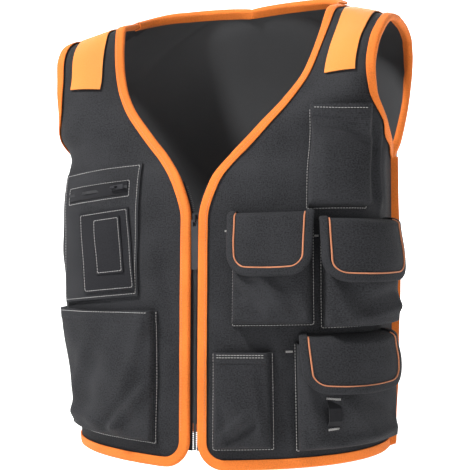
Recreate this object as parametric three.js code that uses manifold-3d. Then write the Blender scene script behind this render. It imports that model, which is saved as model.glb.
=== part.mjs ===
// A sleeveless work vest as it hangs on a wearer: two fronts closed by a zip, a back, taped edges,
// shoulder bands and cargo pockets. Millimetres, +Z up, -Y to the front, +X to the wearer's left.
// The origin is midway between the two shoulders, where the vest rests on them.
import * as THREE from 'three';
import Module from 'manifold-3d';
import { mergeVertices } from 'three/addons/utils/BufferGeometryUtils.js';

const wasm = await Module();
wasm.setup();

// Driving dimensions of the worn form
const SHOULDER_HEIGHT = 553;
const CHEST_HALF = 212;
const NECK_HALF = 139;
const FRONT_DEPTH = 140;
const BACK_DEPTH = 124;
const ZIP_HALF = 6.5;
const CORNER_RADIUS = 32;

// Cloth, tape and clearances
const CLOTH = 2;
const TAPE = 1.2;
const POCKET_CLOTH = 1.5;
const GAP = 0.3;
const SEWN_GAP = 0.5;
const BINDING_WIDTH = 12;
// How far each tape and sheet stands off the cloth that it is sewn to: more where the cloth curves more
const EASE = { front: 0.9, armhole: 1.9, neck: 2.5, hem: 0.5, pocket: 0.9, patch: 1.3, shoulder: 1.5 };
// What is sewn on the patch pocket starts this far off the smooth cloth.
const ON_PATCH = EASE.patch + POCKET_CLOTH + SEWN_GAP;
const SIDE_SEAM = 3;
const SHOULDER_SEAM = 1;
const SIDE_BAND_WIDTH = 10;
const SHOULDER_BAND_MARGIN = 21;
const SHOULDER_BAND_DROP = 142;

// Main zip
const ZIP_FOOT = 20;
const ZIP_OPEN_HEIGHT = 296;
const ZIP_TAPE_TOP = 335;
const ZIP_TAPE_LAP = 9;
const CHAIN_WIDTH = 5.2;
const CHAIN_THICK = 2.4;
const ZIP_TAPE = 0.8;
const SLIDER_POST = { width: 3, height: 4 };
const SLIDER = { width: 9, height: 13, plate: 1.2, bail: 3, bailHeight: 8.4, bailReach: 4.7 };
const BAIL_WALL = 1.2;
const BAIL_CLEARANCE = 0.5;
const PULL = { width: 8.5, length: 58, thick: 1.6 };

// Zip of the patch pocket
const SMALL_ZIP = { from: 88, width: 88, foot: 321, height: 14, fall: 0.11, chain: 3.4, ridge: 1.2, slider: 17 };
const SMALL_SLIDER = { width: 6, height: 8, plate: 1.2, bail: 2.2, bailHeight: 6.4, bailReach: 3.9 };
const SMALL_PULL = { width: 5.6, length: 13, thick: 1.2 };

// Pockets: from is the distance from the centre front round the chest to the pocket's inner side, foot
// is the height of its lower seam above the hem, depth and mouth are how far its foot and its top
// stand off the panel, and fall is how much a line drops for each millimetre that it runs outwards.
const CHEST_POCKET = { from: 136, width: 66, foot: 298, height: 116, depth: 17, mouth: 14 };
const INNER_FLAP_POCKET = { from: 50, width: 90, foot: 166, height: 118, depth: 17, mouth: 15 };
const OUTER_FLAP_POCKET = { width: 90, foot: 162, height: 114, depth: 22, mouth: 18 };
const LOWER_FLAP_POCKET = { from: 122, width: 122, foot: 21, height: 123, depth: 22, mouth: 17 };
const PLIER_POCKET = { from: 27, width: 66, foot: 24, height: 110, depth: 9, mouth: 11 };
const MAP_POCKET = { from: 48, width: 148, foot: 27, height: 154, depth: 10, mouth: 8 };
const PATCH_POCKET = { from: 72, width: 118, foot: 198, height: 160, fall: 0.1 };
const TOOL_SLEEVE = { from: 80, width: 72, foot: 206, height: 98, fall: 0.1 };
const CARD_POCKET = { from: 93, width: 38, foot: 226, height: 68, fall: 0.1 };
const POCKET_SPACING = 12;
const SEAM_MARGIN = 3;
const WALL_SLOPE = 4;
const FLAP = { roof: 9, stand: 1.5, flare: 2, corner: 15 };
const UPPER_FLAP = { overhang: 3, drop: 69 };
const LOWER_FLAP = { overhang: -4, drop: 60 };
const TOOL_LOOP = { width: 12, height: 38, bow: 6.2, inset: 28, rise: 25 };

// Sections of the front and back. Each row is one section from its inner end, at the zip or neck, to
// its outer end, at the side seam or armhole. run, zIn and zOut are shares of SHOULDER_HEIGHT; xIn
// is a share of the way from the zip to NECK_HALF, or of NECK_HALF on the back; xOut is a share of
// CHEST_HALF; yIn and yOut are shares of FRONT_DEPTH or BACK_DEPTH. aimIn and aimOut are the section's
// directions at its ends in degrees from +X, pullIn and pullOut its handles as shares of its span, and
// dropIn the share of its fall that it has by its inner handle.
const COLUMNS = ['run', 'zIn', 'xIn', 'yIn', 'zOut', 'xOut', 'yOut', 'aimIn', 'pullIn', 'aimOut', 'pullOut',
  'dropIn'];
const FRONT_SECTIONS = [
  [0.000, 0.000, 0.000, -1.000, 0.031, 0.934, 0.000, 0, 0.53, 95, 0.33, 0.33],
  [0.154, 0.154, 0.000, -1.000, 0.175, 0.943, 0.000, 0, 0.60, 95, 0.38, 0.33],
  [0.362, 0.362, 0.000, -0.993, 0.376, 0.967, 0.000, 0, 0.72, 95, 0.50, 0.33],
  [0.521, 0.521, 0.000, -0.979, 0.528, 0.962, 0.000, 0, 0.74, 95, 0.52, 0.33],
  [0.602, 0.602, 0.094, -0.957, 0.618, 0.962, 0.000, 0, 0.72, 95, 0.52, 0.33],
  [0.664, 0.664, 0.275, -0.871, 0.669, 0.962, 0.000, -2, 0.68, 95, 0.50, 0.33],
  [0.696, 0.696, 0.396, -0.836, 0.691, 0.981, -0.136, -3, 0.60, 95, 0.46, 0.33],
  [0.727, 0.727, 0.509, -0.800, 0.725, 0.997, -0.457, -4, 0.50, 90, 0.36, 0.33],
  [0.778, 0.778, 0.691, -0.714, 0.790, 0.974, -0.650, -10, 0.38, 45, 0.34, 0.33],
  [0.835, 0.835, 0.834, -0.593, 0.839, 0.976, -0.693, -22, 0.35, 20, 0.33, 0.33],
  [0.890, 0.890, 0.909, -0.507, 0.890, 0.993, -0.661, -25, 0.33, 10, 0.33, 0.33],
  [0.949, 0.949, 0.962, -0.411, 0.929, 1.014, -0.550, -18, 0.33, 5, 0.33, 0.33],
  [0.998, 0.993, 0.991, -0.321, 0.955, 1.024, -0.386, -8, 0.33, 0, 0.33, 0.33],
  [1.042, 1.009, 1.002, -0.157, 0.971, 1.025, -0.171, -3, 0.33, 0, 0.33, 0.33],
  [1.085, 1.022, 1.002, 0.000, 0.978, 1.026, 0.000, 0, 0.33, 0, 0.33, 0.33],
];
const BACK_SECTIONS = [
  [0.000, 0.000, 0.000, 0.919, 0.031, 0.934, 0.000, 0, 0.62, -95, 0.50, 0.33],
  [0.154, 0.154, 0.000, 0.935, 0.175, 0.943, 0.000, 0, 0.62, -95, 0.50, 0.33],
  [0.362, 0.362, 0.000, 0.960, 0.376, 0.967, 0.000, 0, 0.62, -95, 0.50, 0.33],
  [0.521, 0.524, 0.000, 0.984, 0.528, 0.962, 0.000, 0, 0.62, -95, 0.50, 0.33],
  [0.602, 0.635, 0.000, 1.000, 0.618, 0.962, 0.000, 0, 0.62, -95, 0.50, 0.20],
  [0.664, 0.725, 0.000, 1.000, 0.669, 0.962, 0.000, 0, 0.60, -95, 0.48, 0.00],
  [0.720, 0.815, 0.000, 0.968, 0.702, 0.986, 0.081, 0, 0.58, -92, 0.47, 0.00],
  [0.778, 0.896, 0.000, 0.887, 0.745, 1.005, 0.177, 0, 0.56, -88, 0.45, 0.00],
  [0.841, 0.976, 0.000, 0.750, 0.796, 1.019, 0.306, 0, 0.52, -84, 0.42, 0.00],
  [0.904, 1.034, 0.000, 0.630, 0.846, 1.028, 0.419, 0, 0.46, -72, 0.39, 0.00],
  [0.940, 1.066, 0.000, 0.565, 0.875, 1.031, 0.484, 0, 0.42, -64, 0.37, 0.00],
  [0.976, 1.073, 0.417, 0.553, 0.917, 1.034, 0.548, 14, 0.36, -45, 0.34, 0.20],
  [1.013, 1.068, 0.734, 0.470, 0.951, 1.035, 0.532, 12, 0.34, -28, 0.33, 0.30],
  [1.049, 1.047, 0.942, 0.270, 0.975, 1.031, 0.290, 5, 0.33, -10, 0.33, 0.33],
  [1.085, 1.022, 1.002, 0.000, 0.978, 1.026, 0.000, 0, 0.33, 0, 0.33, 0.33],
];
// Heights of the rows of facets above the hem binding, as shares of SHOULDER_HEIGHT.
const FRONT_ROWS = [0.08, 0.16, 0.24, 0.32, 0.40, 0.47, 0.53, 0.57, 0.61, 0.64, 0.664, 0.68, 0.696, 0.712,
  0.727, 0.742, 0.76, 0.785, 0.82, 0.86, 0.90, 0.94, 0.98, 1.015, 1.05];
const BACK_ROWS = [0.13, 0.26, 0.39, 0.51, 0.60, 0.664, 0.70, 0.74, 0.78, 0.82, 0.86,
  0.90, 0.92, 0.94, 0.965, 0.985, 1.005, 1.025, 1.045, 1.065];
const LAST_RUN = 1.085;
const UNDERARM_RUN = 0.664;
const NECK_RUN = 0.94;
const BAND_BACK_RUN = 0.93;
const FRONT_STRIPS = 8;
const BACK_STRIPS = 7;

const SHOWN_COLOURS = { charcoal: 0x35363a, lining: 0x2b2c30, orange: 0xf08a35, pale: 0xffb45c,
  black: 0x18181a, metal: 0x3c3d40 };

// A smooth curve through a table's column that doesn't overshoot its rows
function smoothColumn(xs, ys) {
  const steps = xs.slice(1).map((x, i) => x - xs[i]);
  const rises = steps.map((step, i) => (ys[i + 1] - ys[i]) / step);
  const slopes = xs.map((x, i) => {
    if (i === 0) return rises[0];
    if (i === xs.length - 1) return rises[i - 1];
    if (rises[i - 1] * rises[i] <= 0) return 0;
    const before = 2 * steps[i] + steps[i - 1];
    const after = steps[i] + 2 * steps[i - 1];
    return (before + after) / (before / rises[i - 1] + after / rises[i]);
  });
  return x => {
    let i = 0;
    while (i < steps.length - 1 && x > xs[i + 1]) i += 1;
    const t = (x - xs[i]) / steps[i];
    const rest = 1 - t;
    return ys[i] * (1 + 2 * t) * rest * rest + ys[i + 1] * t * t * (3 - 2 * t)
      + steps[i] * (slopes[i] * t * rest * rest - slopes[i + 1] * t * t * rest);
  };
}

// A cloth surface on the wearer's left: at(across, height) gives its point and outward normal, where
// across is the distance from the section's inner end and height is the section's run in millimetres.
function clothSurface(table, depth, neckStart, outward) {
  const runs = table.map(row => row[0]);
  const column = {};
  COLUMNS.forEach((name, k) => { column[name] = smoothColumn(runs, table.map(row => row[k])); });
  const sections = new Map();
  const section = height => {
    if (sections.has(height)) return sections.get(height);
    const at = name => column[name](height / SHOULDER_HEIGHT);
    const inner = new THREE.Vector3(neckStart + at('xIn') * (NECK_HALF - neckStart),
      at('yIn') * depth, at('zIn') * SHOULDER_HEIGHT);
    const outer = new THREE.Vector3(at('xOut') * CHEST_HALF, at('yOut') * depth, at('zOut') * SHOULDER_HEIGHT);
    const span = inner.distanceTo(outer);
    const handle = (from, aim, pull, share) => {
      const angle = THREE.MathUtils.degToRad(at(aim));
      const reach = at(pull) * span;
      return new THREE.Vector3(from.x + reach * Math.cos(angle), from.y + reach * Math.sin(angle),
        THREE.MathUtils.lerp(inner.z, outer.z, share));
    };
    const near = handle(inner, 'aimIn', 'pullIn', at('dropIn'));
    const back = handle(outer, 'aimOut', 'pullOut', 2 / 3);
    const far = new THREE.Vector3(2 * outer.x - back.x, 2 * outer.y - back.y, back.z);
    const curve = new THREE.CubicBezierCurve3(inner, near, far, outer);
    curve.arcLengthDivisions = 60;
    sections.set(height, curve);
    return curve;
  };
  const width = height => section(height).getLength() - SIDE_SEAM / 2 - GAP;
  const point = (across, height) => {
    const curve = section(height);
    const share = across / curve.getLength();
    if (share >= 0) return curve.getPointAt(Math.min(share, 1));
    return curve.getPointAt(0).addScaledVector(curve.getTangentAt(0), across);
  };
  const at = (across, height) => {
    const low = Math.max(height - 1, 0);
    const high = Math.min(height + 1, LAST_RUN * SHOULDER_HEIGHT);
    const along = point(across + 1, height).sub(point(Math.max(across - 1, 0), height)).normalize();
    const up = point(across, high).sub(point(across, low)).normalize();
    const n = along.clone().cross(up).normalize().multiplyScalar(outward);
    return { p: point(across, height), n, along, up };
  };
  return { at, width, start: height => section(height).getPointAt(0).x };
}

const frontSurface = clothSurface(FRONT_SECTIONS, FRONT_DEPTH, ZIP_HALF, 1);
const backSurface = clothSurface(BACK_SECTIONS, BACK_DEPTH, 0, -1);

// Where the columns of facets stand across a section of the given width
function columnsAcross(width, strips) {
  const inside = width - 2 * BINDING_WIDTH;
  const middle = Array.from({ length: strips + 1 }, (_, k) => {
    const share = k / strips;
    return BINDING_WIDTH + inside * (1 - (1 - share) ** 1.25);
  });
  return [0, ...middle, width];
}

function heightsOf(rows) {
  const last = LAST_RUN * SHOULDER_HEIGHT - SHOULDER_SEAM / 2;
  return [0, BINDING_WIDTH, ...rows.map(share => share * SHOULDER_HEIGHT), last];
}

// The height of the rounded lower front corner at a distance from the zip edge
function cornerHeight(across) {
  if (across >= CORNER_RADIUS) return 0;
  return CORNER_RADIUS - Math.sqrt(CORNER_RADIUS ** 2 - (CORNER_RADIUS - across) ** 2);
}

// The lattice of facet corners of a cloth surface, each with its point, normal and place
function lattice(surface, rows, strips, rounded) {
  const heights = heightsOf(rows);
  const cornerTop = heights[2];
  return heights.map(height => columnsAcross(surface.width(height), strips).map(across => {
    const corner = rounded ? cornerHeight(across) : 0;
    const raised = height < cornerTop ? corner + (cornerTop - corner) * height / cornerTop : height;
    const spot = surface.at(across, raised);
    return { ...spot, across, height: raised, round: across + surface.start(raised) };
  }));
}

const frontLattice = lattice(frontSurface, FRONT_ROWS, FRONT_STRIPS, true);
const backLattice = lattice(backSurface, BACK_ROWS, BACK_STRIPS, false);

const offset = (spot, lift) => spot.p.clone().addScaledVector(spot.n, lift);

// Turns triangles that face inwards, and gives the mesh flat faces
function solid(points, triangles) {
  let volume = 0;
  for (const [a, b, c] of triangles) volume += points[a].dot(points[b].clone().cross(points[c]));
  const faces = volume < 0 ? triangles.map(([a, b, c]) => [a, c, b]) : triangles;
  const geometry = new THREE.BufferGeometry();
  geometry.setAttribute('position', new THREE.Float32BufferAttribute(points.flatMap(p => p.toArray()), 3));
  geometry.setIndex(faces.flat());
  geometry.computeVertexNormals();
  return geometry;
}

// A closed wall between an outer and an inner grid of points with the same rows and columns
function wall(outer, inner) {
  const rows = outer.length;
  const columns = outer[0].length;
  const points = [...outer.flat(), ...inner.flat()];
  const top = (j, i) => j * columns + i;
  const under = (j, i) => rows * columns + j * columns + i;
  const triangles = [];
  for (let j = 0; j < rows - 1; j += 1) {
    for (let i = 0; i < columns - 1; i += 1) {
      triangles.push([top(j, i), top(j, i + 1), top(j + 1, i + 1)], [top(j, i), top(j + 1, i + 1), top(j + 1, i)]);
      triangles.push([under(j, i), under(j + 1, i + 1), under(j, i + 1)],
        [under(j, i), under(j + 1, i), under(j + 1, i + 1)]);
    }
  }
  const rim = [];
  for (let i = 0; i < columns - 1; i += 1) rim.push([0, i, 0, i + 1]);
  for (let j = 0; j < rows - 1; j += 1) rim.push([j, columns - 1, j + 1, columns - 1]);
  for (let i = columns - 1; i > 0; i -= 1) rim.push([rows - 1, i, rows - 1, i - 1]);
  for (let j = rows - 1; j > 0; j -= 1) rim.push([j, 0, j - 1, 0]);
  for (const [j, i, l, k] of rim) {
    triangles.push([top(j, i), under(j, i), under(l, k)], [top(j, i), under(l, k), top(l, k)]);
  }
  return solid(points, triangles);
}

// A closed bar swept through rings of points, with flat ends
function bar(rings, ends) {
  const size = rings[0].length;
  const points = rings.flat();
  const triangles = [];
  for (let j = 0; j < rings.length - 1; j += 1) {
    for (let i = 0; i < size; i += 1) {
      const next = (i + 1) % size;
      const low = j * size;
      const high = low + size;
      triangles.push([low + i, low + next, high + next], [low + i, high + next, high + i]);
    }
  }
  const last = (rings.length - 1) * size;
  for (const [a, b, c] of ends) {
    triangles.push([a, c, b], [last + a, last + b, last + c]);
  }
  return solid(points, triangles);
}

// A box centred on a point, as a solid that can be joined
function block(width, depth, height, x, y, z) {
  return joinable(new THREE.BoxGeometry(width, depth, height).translate(x, y, z));
}

function joinable(geometry) {
  geometry.deleteAttribute('normal');
  geometry.deleteAttribute('uv');
  const merged = mergeVertices(geometry);
  return new wasm.Manifold(new wasm.Mesh({ numProp: 3, vertProperties: merged.attributes.position.array,
    triVerts: merged.index.array }));
}

function meshOf(manifold) {
  const mesh = manifold.getMesh();
  const geometry = new THREE.BufferGeometry();
  geometry.setAttribute('position', new THREE.BufferAttribute(new Float32Array(mesh.vertProperties), 3));
  geometry.setIndex(new THREE.BufferAttribute(new Uint32Array(mesh.triVerts), 1));
  geometry.computeVertexNormals();
  return geometry;
}

const CHANNEL_ENDS = [[0, 1, 2], [0, 2, 3], [0, 3, 7], [3, 4, 7], [4, 5, 6], [4, 6, 7]];
const STRIP_ENDS = [[0, 1, 2], [0, 2, 3]];

// The frame of an edge at each of its spots: inwards lies in the cloth, square to the edge
function edgeFrames(spots, inwardSide) {
  return spots.map((spot, k) => {
    const before = spots[Math.max(k - 1, 0)].p;
    const after = spots[Math.min(k + 1, spots.length - 1)].p;
    const along = after.clone().sub(before).normalize();
    if (spot.p.x === 0) along.set(Math.sign(along.x), 0, 0);
    const inwards = along.clone().cross(spot.n).normalize().multiplyScalar(inwardSide);
    return { ...spot, inwards };
  });
}

// The spot of the smooth cloth that lies a distance inwards of an edge spot, reached in short steps
function inside(surface, edgeSpot, distance) {
  const steps = 6;
  let spot = edgeSpot;
  for (let k = 0; k < steps; k += 1) {
    const { along, up, across, height } = spot;
    const mixed = along.dot(up);
    const a = edgeSpot.inwards.dot(along);
    const b = edgeSpot.inwards.dot(up);
    const share = distance / steps / (1 - mixed * mixed);
    const rise = surface.at(across, height + 1).p.sub(spot.p).length();
    const next = { across: across + share * (a - b * mixed), height: height + share * (b - a * mixed) / rise };
    spot = { ...surface.at(next.across, next.height), ...next };
  }
  return spot;
}

// The folded tape that wraps an edge: a channel of eight corners at each spot
function channelRings(surface, spots, inwardSide, ease) {
  const near = CLOTH / 2 + ease;
  const far = near + TAPE;
  return edgeFrames(spots, inwardSide).map(spot => {
    const leg = inside(surface, spot, BINDING_WIDTH);
    const outwards = distance => spot.p.clone().addScaledVector(spot.inwards, -distance);
    const fold = (distance, lift) => outwards(distance).addScaledVector(spot.n, lift);
    const lip = lift => offset(leg, lift);
    const web = ease / 2;
    return [fold(web + TAPE, far), lip(far), lip(near), fold(web, near), fold(web, -near), lip(-near),
      lip(-far), fold(web + TAPE, -far)];
  });
}

const mirrored = rings => rings.map(ring => ring.map(p => new THREE.Vector3(-p.x, p.y, p.z)));
const onSide = (side, grid) => (side === 1 ? grid : mirrored(grid));

// Named parts of the vest
const vest = new THREE.Group();
vest.position.z = -SHOULDER_HEIGHT;
const SIDES = [['left', 1], ['right', -1]];

function add(name, geometry, colour, finish = {}) {
  const material = new THREE.MeshStandardMaterial({ color: SHOWN_COLOURS[colour], roughness: 0.9, metalness: 0,
    ...finish });
  const mesh = new THREE.Mesh(geometry, material);
  mesh.name = name;
  vest.add(mesh);
  return mesh;
}

function addFrontPanels() {
  for (const [name, side] of SIDES) {
    const outer = frontLattice.map(row => row.map(spot => offset(spot, CLOTH / 2)));
    const inner = frontLattice.map(row => row.map(spot => offset(spot, -CLOTH / 2)));
    add(`front_panel_${name}`, wall(onSide(side, outer), onSide(side, inner)), 'charcoal');
  }
}

// The back's halves meet at the centre line up to the neck, and are joined there.
function addBackPanel() {
  const outer = backLattice.map(row => row.map(spot => offset(spot, CLOTH / 2)));
  const inner = backLattice.map(row => row.map(spot => offset(spot, -CLOTH / 2)));
  const left = joinable(wall(outer, inner));
  const right = joinable(wall(mirrored(outer), mirrored(inner)));
  add('back_panel', meshOf(left.add(right)), 'lining');
}

// The hem, the rounded corner, the zip edge and the neck edge of a front are one tape.
function addFrontBindings() {
  const hem = frontLattice[0].filter(spot => spot.across > CORNER_RADIUS).reverse();
  const corner = [0, 1, 2, 3, 4, 5, 6].map(k => {
    const angle = Math.PI / 2 * (1 - k / 6);
    const across = CORNER_RADIUS * (1 - Math.cos(angle));
    const height = CORNER_RADIUS * (1 - Math.sin(angle));
    return { ...frontSurface.at(across, height), across, height };
  });
  const edge = frontLattice.slice(2).map(row => row[0]);
  const rings = channelRings(frontSurface, [...hem, ...corner, ...edge], 1, EASE.front);
  for (const [name, side] of SIDES) {
    add(`front_binding_${name}`, bar(onSide(side, rings), CHANNEL_ENDS), 'orange');
  }
}

function addArmholeBindings() {
  const underarm = UNDERARM_RUN * SHOULDER_HEIGHT - 1;
  const lastOf = row => row[row.length - 1];
  const fronts = frontLattice.map(lastOf).filter(spot => spot.height > underarm);
  const backs = backLattice.map(lastOf).filter(spot => spot.height > underarm).slice(0, -1).reverse();
  const rings = [...channelRings(frontSurface, fronts, -1, EASE.armhole),
    ...channelRings(backSurface, backs, -1, EASE.armhole)];
  for (const [name, side] of SIDES) {
    add(`armhole_binding_${name}`, bar(onSide(side, rings), CHANNEL_ENDS), 'orange');
  }
}

function addBackBindings() {
  const neckRow = NECK_RUN * SHOULDER_HEIGHT - 1;
  const neck = backLattice.map(row => row[0]).filter(spot => spot.height > neckRow).reverse();
  const hem = [...backLattice[0]].reverse();
  const across = (name, spots, inwardSide, ease) => {
    const left = channelRings(backSurface, spots, inwardSide, ease);
    const right = mirrored(left).slice(0, -1).reverse();
    add(name, bar([...left, ...right], CHANNEL_ENDS), 'orange');
  };
  across('neck_binding', neck, 1, EASE.neck);
  across('hem_binding', hem, -1, EASE.hem);
}

// The bound side seams stand out as a band between the ends of the hem tapes and the underarm.
function addSideBands() {
  const heights = heightsOf(FRONT_ROWS).filter(height => height <= UNDERARM_RUN * SHOULDER_HEIGHT + 1);
  const rings = heights.map(height => {
    const seam = frontSurface.at(frontSurface.width(height) + SIDE_SEAM / 2 + GAP, height).p;
    const inner = seam.x - CLOTH / 2 - EASE.hem - TAPE;
    const outer = seam.x + SIDE_BAND_WIDTH;
    const corner = (x, y) => new THREE.Vector3(x, y, seam.z);
    const half = SIDE_SEAM / 2;
    return [corner(inner, -half), corner(outer, -half), corner(outer, half), corner(inner, half)];
  });
  for (const [name, side] of SIDES) add(`side_band_${name}`, bar(onSide(side, rings), STRIP_ENDS), 'orange');
}

// A point on the facets of a lattice's outer face, with its normal. The place across the lattice is
// read from the given coordinate of its spots: 'across' from the edge, or 'round' from the centre.
function seat(grid, coordinate, place, height) {
  const rowHeights = grid.map(row => row[row.length - 1].height);
  let j = 0;
  while (j < rowHeights.length - 2 && height > rowHeights[j + 1]) j += 1;
  const t = (height - rowHeights[j]) / (rowHeights[j + 1] - rowHeights[j]);
  const places = grid[j].map((spot, i) => THREE.MathUtils.lerp(spot[coordinate], grid[j + 1][i][coordinate], t));
  let i = 0;
  while (i < places.length - 2 && place > places[i + 1]) i += 1;
  const s = (place - places[i]) / (places[i + 1] - places[i]);
  const [a, b, c, d] = [grid[j][i], grid[j][i + 1], grid[j + 1][i + 1], grid[j + 1][i]];
  const mix = read => {
    const [pa, pb, pc, pd] = [a, b, c, d].map(read);
    const steps = s >= t ? [[pb, pa, s], [pc, pb, t]] : [[pd, pa, t], [pc, pd, s]];
    return steps.reduce((sum, [to, from, share]) => sum.addScaledVector(to.clone().sub(from), share), pa.clone());
  };
  return { p: mix(spot => offset(spot, CLOTH / 2)), n: mix(spot => spot.n).normalize() };
}

const onFront = (round, height) => seat(frontLattice, 'round', round, height);

// The panel's own column lines at a height, as distances round from the centre front
function columnMarks(height) {
  const start = frontSurface.start(height);
  return columnsAcross(frontSurface.width(height), FRONT_STRIPS).map(across => across + start);
}

// The panel's column lines that stay inside a stretch at each of the heights, one list for each
function marksInside(heights, from, to) {
  const all = heights.map(columnMarks);
  const stays = i => all.every(marks => marks[i] > from + CLOTH && marks[i] < to - CLOTH);
  return all.map(marks => marks.filter((mark, i) => stays(i)));
}

const rowMarks = heightsOf(FRONT_ROWS);
const rowsInside = (from, to) => rowMarks.filter(mark => mark > from + WALL_SLOPE && mark < to - WALL_SLOPE);

function addShoulderBands() {
  const bandWidth = frontSurface.width(rowMarks.at(-1)) - 2 * SHOULDER_BAND_MARGIN;
  const band = (grid, surface, foot) => {
    const heights = grid.map(row => row.at(-1).height).filter(height => height > foot + 1);
    return [foot, ...heights].map(height => {
      const outer = surface.width(height) - SHOULDER_BAND_MARGIN;
      return [1, 0.75, 0.5, 0.25, 0].map(share => seat(grid, 'across', outer - share * bandWidth, height));
    });
  };
  const spots = [...band(frontLattice, frontSurface, rowMarks.at(-1) - SHOULDER_BAND_DROP),
    ...band(backLattice, backSurface, BAND_BACK_RUN * SHOULDER_HEIGHT).slice(0, -1).reverse()];
  const layer = lift => spots.map(row => row.map(spot => offset(spot, lift)));
  for (const [name, side] of SIDES) {
    const sheet = wall(onSide(side, layer(EASE.shoulder + TAPE)), onSide(side, layer(EASE.shoulder)));
    add(`shoulder_band_${name}`, sheet, 'pale');
  }
}

// Where the zip's mid plane lies behind the front's cloth
const ZIP_SETBACK = CLOTH / 2 + EASE.front + TAPE + SEWN_GAP + ZIP_TAPE / 2;

function addZip() {
  const tapeHeights = [ZIP_FOOT, ...rowMarks.filter(h => h > ZIP_FOOT && h < ZIP_TAPE_TOP), ZIP_TAPE_TOP];
  const spots = tapeHeights.map(height => ({ ...frontSurface.at(0, height), across: 0, height }));
  const free = ZIP_HALF - CHAIN_WIDTH / 2 - GAP;
  const rings = edgeFrames(spots, 1).map(spot => {
    const lap = inside(frontSurface, spot, ZIP_TAPE_LAP);
    const edge = lift => offset(spot, -lift).addScaledVector(spot.inwards, -free);
    const near = ZIP_SETBACK - ZIP_TAPE / 2;
    const far = ZIP_SETBACK + ZIP_TAPE / 2;
    return [edge(near), offset(lap, -near), offset(lap, -far), edge(far)];
  });
  for (const [name, side] of SIDES) add(`zip_tape_${name}`, bar(onSide(side, rings), STRIP_ENDS), 'black');

  const chainTop = ZIP_OPEN_HEIGHT - SLIDER_POST.height - GAP;
  const chainHeights = [ZIP_FOOT, ...rowMarks.filter(h => h > ZIP_FOOT && h < chainTop), chainTop];
  const chain = chainHeights.map(height => {
    const spot = frontSurface.at(0, height);
    const middle = new THREE.Vector3(0, spot.p.y + ZIP_SETBACK, spot.p.z);
    return [[-1, -1], [1, -1], [1, 1], [-1, 1]].map(([x, y]) =>
      middle.clone().add(new THREE.Vector3(x * CHAIN_WIDTH / 2, y * CHAIN_THICK / 2, 0)));
  });
  add('zip_chain', bar(chain, STRIP_ENDS), 'black');
}

// The bail is a flat arch on the slider's front face, which is at y = -front.
function bail(size, front) {
  const half = size.bailHeight / 2;
  const reach = front + size.bailReach;
  const chamfer = BAIL_WALL / 2;
  const profile = new THREE.Shape([[front - GAP, -half], [reach - chamfer, -half], [reach, chamfer - half],
    [reach, half - chamfer], [reach - chamfer, half], [front - GAP, half]].map(([y, z]) => new THREE.Vector2(y, z)));
  const hole = half - BAIL_WALL;
  profile.holes.push(new THREE.Path([[front + BAIL_CLEARANCE, -hole], [front + BAIL_CLEARANCE, hole],
    [reach - BAIL_WALL, hole], [reach - BAIL_WALL, -hole]].map(([y, z]) => new THREE.Vector2(y, z))));
  const arch = new THREE.ExtrudeGeometry(profile, { depth: size.bail, bevelEnabled: false });
  arch.translate(0, 0, -size.bail / 2);
  // The profile's first axis becomes -y and its second z, so the arch is extruded along x.
  arch.applyMatrix4(new THREE.Matrix4().makeBasis(new THREE.Vector3(0, -1, 0), new THREE.Vector3(0, 0, 1),
    new THREE.Vector3(-1, 0, 0)));
  return joinable(arch);
}

// Where a pull's cross bar turns in its bail, measured from the slider's middle
function pivotOf(size, pull, front) {
  const hole = size.bailHeight / 2 - BAIL_WALL;
  const y = -(front + (BAIL_CLEARANCE + size.bailReach - BAIL_WALL) / 2);
  return new THREE.Vector3(0, y, -(hole - pull.thick / 2 - GAP));
}

// A pull hangs from its cross bar, with a slot that clears the bail at every angle.
function pullGeometry(size, pull, front) {
  const pivot = pivotOf(size, pull, front);
  const slot = Math.hypot(size.bailHeight / 2 - pivot.z, front + size.bailReach + pivot.y) + BAIL_CLEARANCE;
  const half = pull.width / 2;
  const bar = pull.thick / 2;
  const tip = half * 0.5;
  const outline = new THREE.Shape();
  outline.moveTo(-half + bar, bar);
  outline.lineTo(-half, 0);
  outline.lineTo(-half, tip - pull.length);
  outline.absarc(tip - half, tip - pull.length, tip, Math.PI, 1.5 * Math.PI, false);
  outline.absarc(half - tip, tip - pull.length, tip, 1.5 * Math.PI, 2 * Math.PI, false);
  outline.lineTo(half, 0);
  outline.lineTo(half - bar, bar);
  const gap = size.bail / 2 + BAIL_CLEARANCE;
  outline.holes.push(new THREE.Path([[-gap, -bar], [-gap, -slot], [gap, -slot], [gap, -bar]]
    .map(([x, z]) => new THREE.Vector2(x, z))));
  const plate = new THREE.ExtrudeGeometry(outline, { depth: pull.thick, bevelEnabled: false, curveSegments: 4 });
  plate.translate(0, 0, -pull.thick / 2);
  plate.rotateX(Math.PI / 2);
  return meshOf(joinable(plate));
}

function addMainSlider() {
  const height = ZIP_OPEN_HEIGHT - SLIDER.height / 2;
  const spot = frontSurface.at(0, height);
  const place = new THREE.Vector3(0, spot.p.y + ZIP_SETBACK, spot.p.z);
  const inner = CHAIN_THICK / 2 + GAP;
  const front = inner + SLIDER.plate;
  const plate = side => block(SLIDER.width, SLIDER.plate, SLIDER.height, 0, side * (inner + SLIDER.plate / 2), 0);
  const post = block(SLIDER_POST.width, 2 * front - SLIDER.plate, SLIDER_POST.height, 0, 0,
    (SLIDER.height - SLIDER_POST.height) / 2);
  const body = meshOf(plate(-1).add(plate(1)).add(post).add(bail(SLIDER, front)));
  add('zip_slider', body, 'metal', { metalness: 0.6, roughness: 0.45 }).position.copy(place);
  const pull = pullGeometry(SLIDER, PULL, front);
  add('zip_pull', pull, 'black', { roughness: 0.5 }).position.copy(place).add(pivotOf(SLIDER, PULL, front));
}

// A pocket whose sides and foot stand off the panel and whose top is open
function pocketDepth(pocket, height) {
  return THREE.MathUtils.lerp(pocket.depth, pocket.mouth, (height - pocket.foot) / pocket.height);
}

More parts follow.
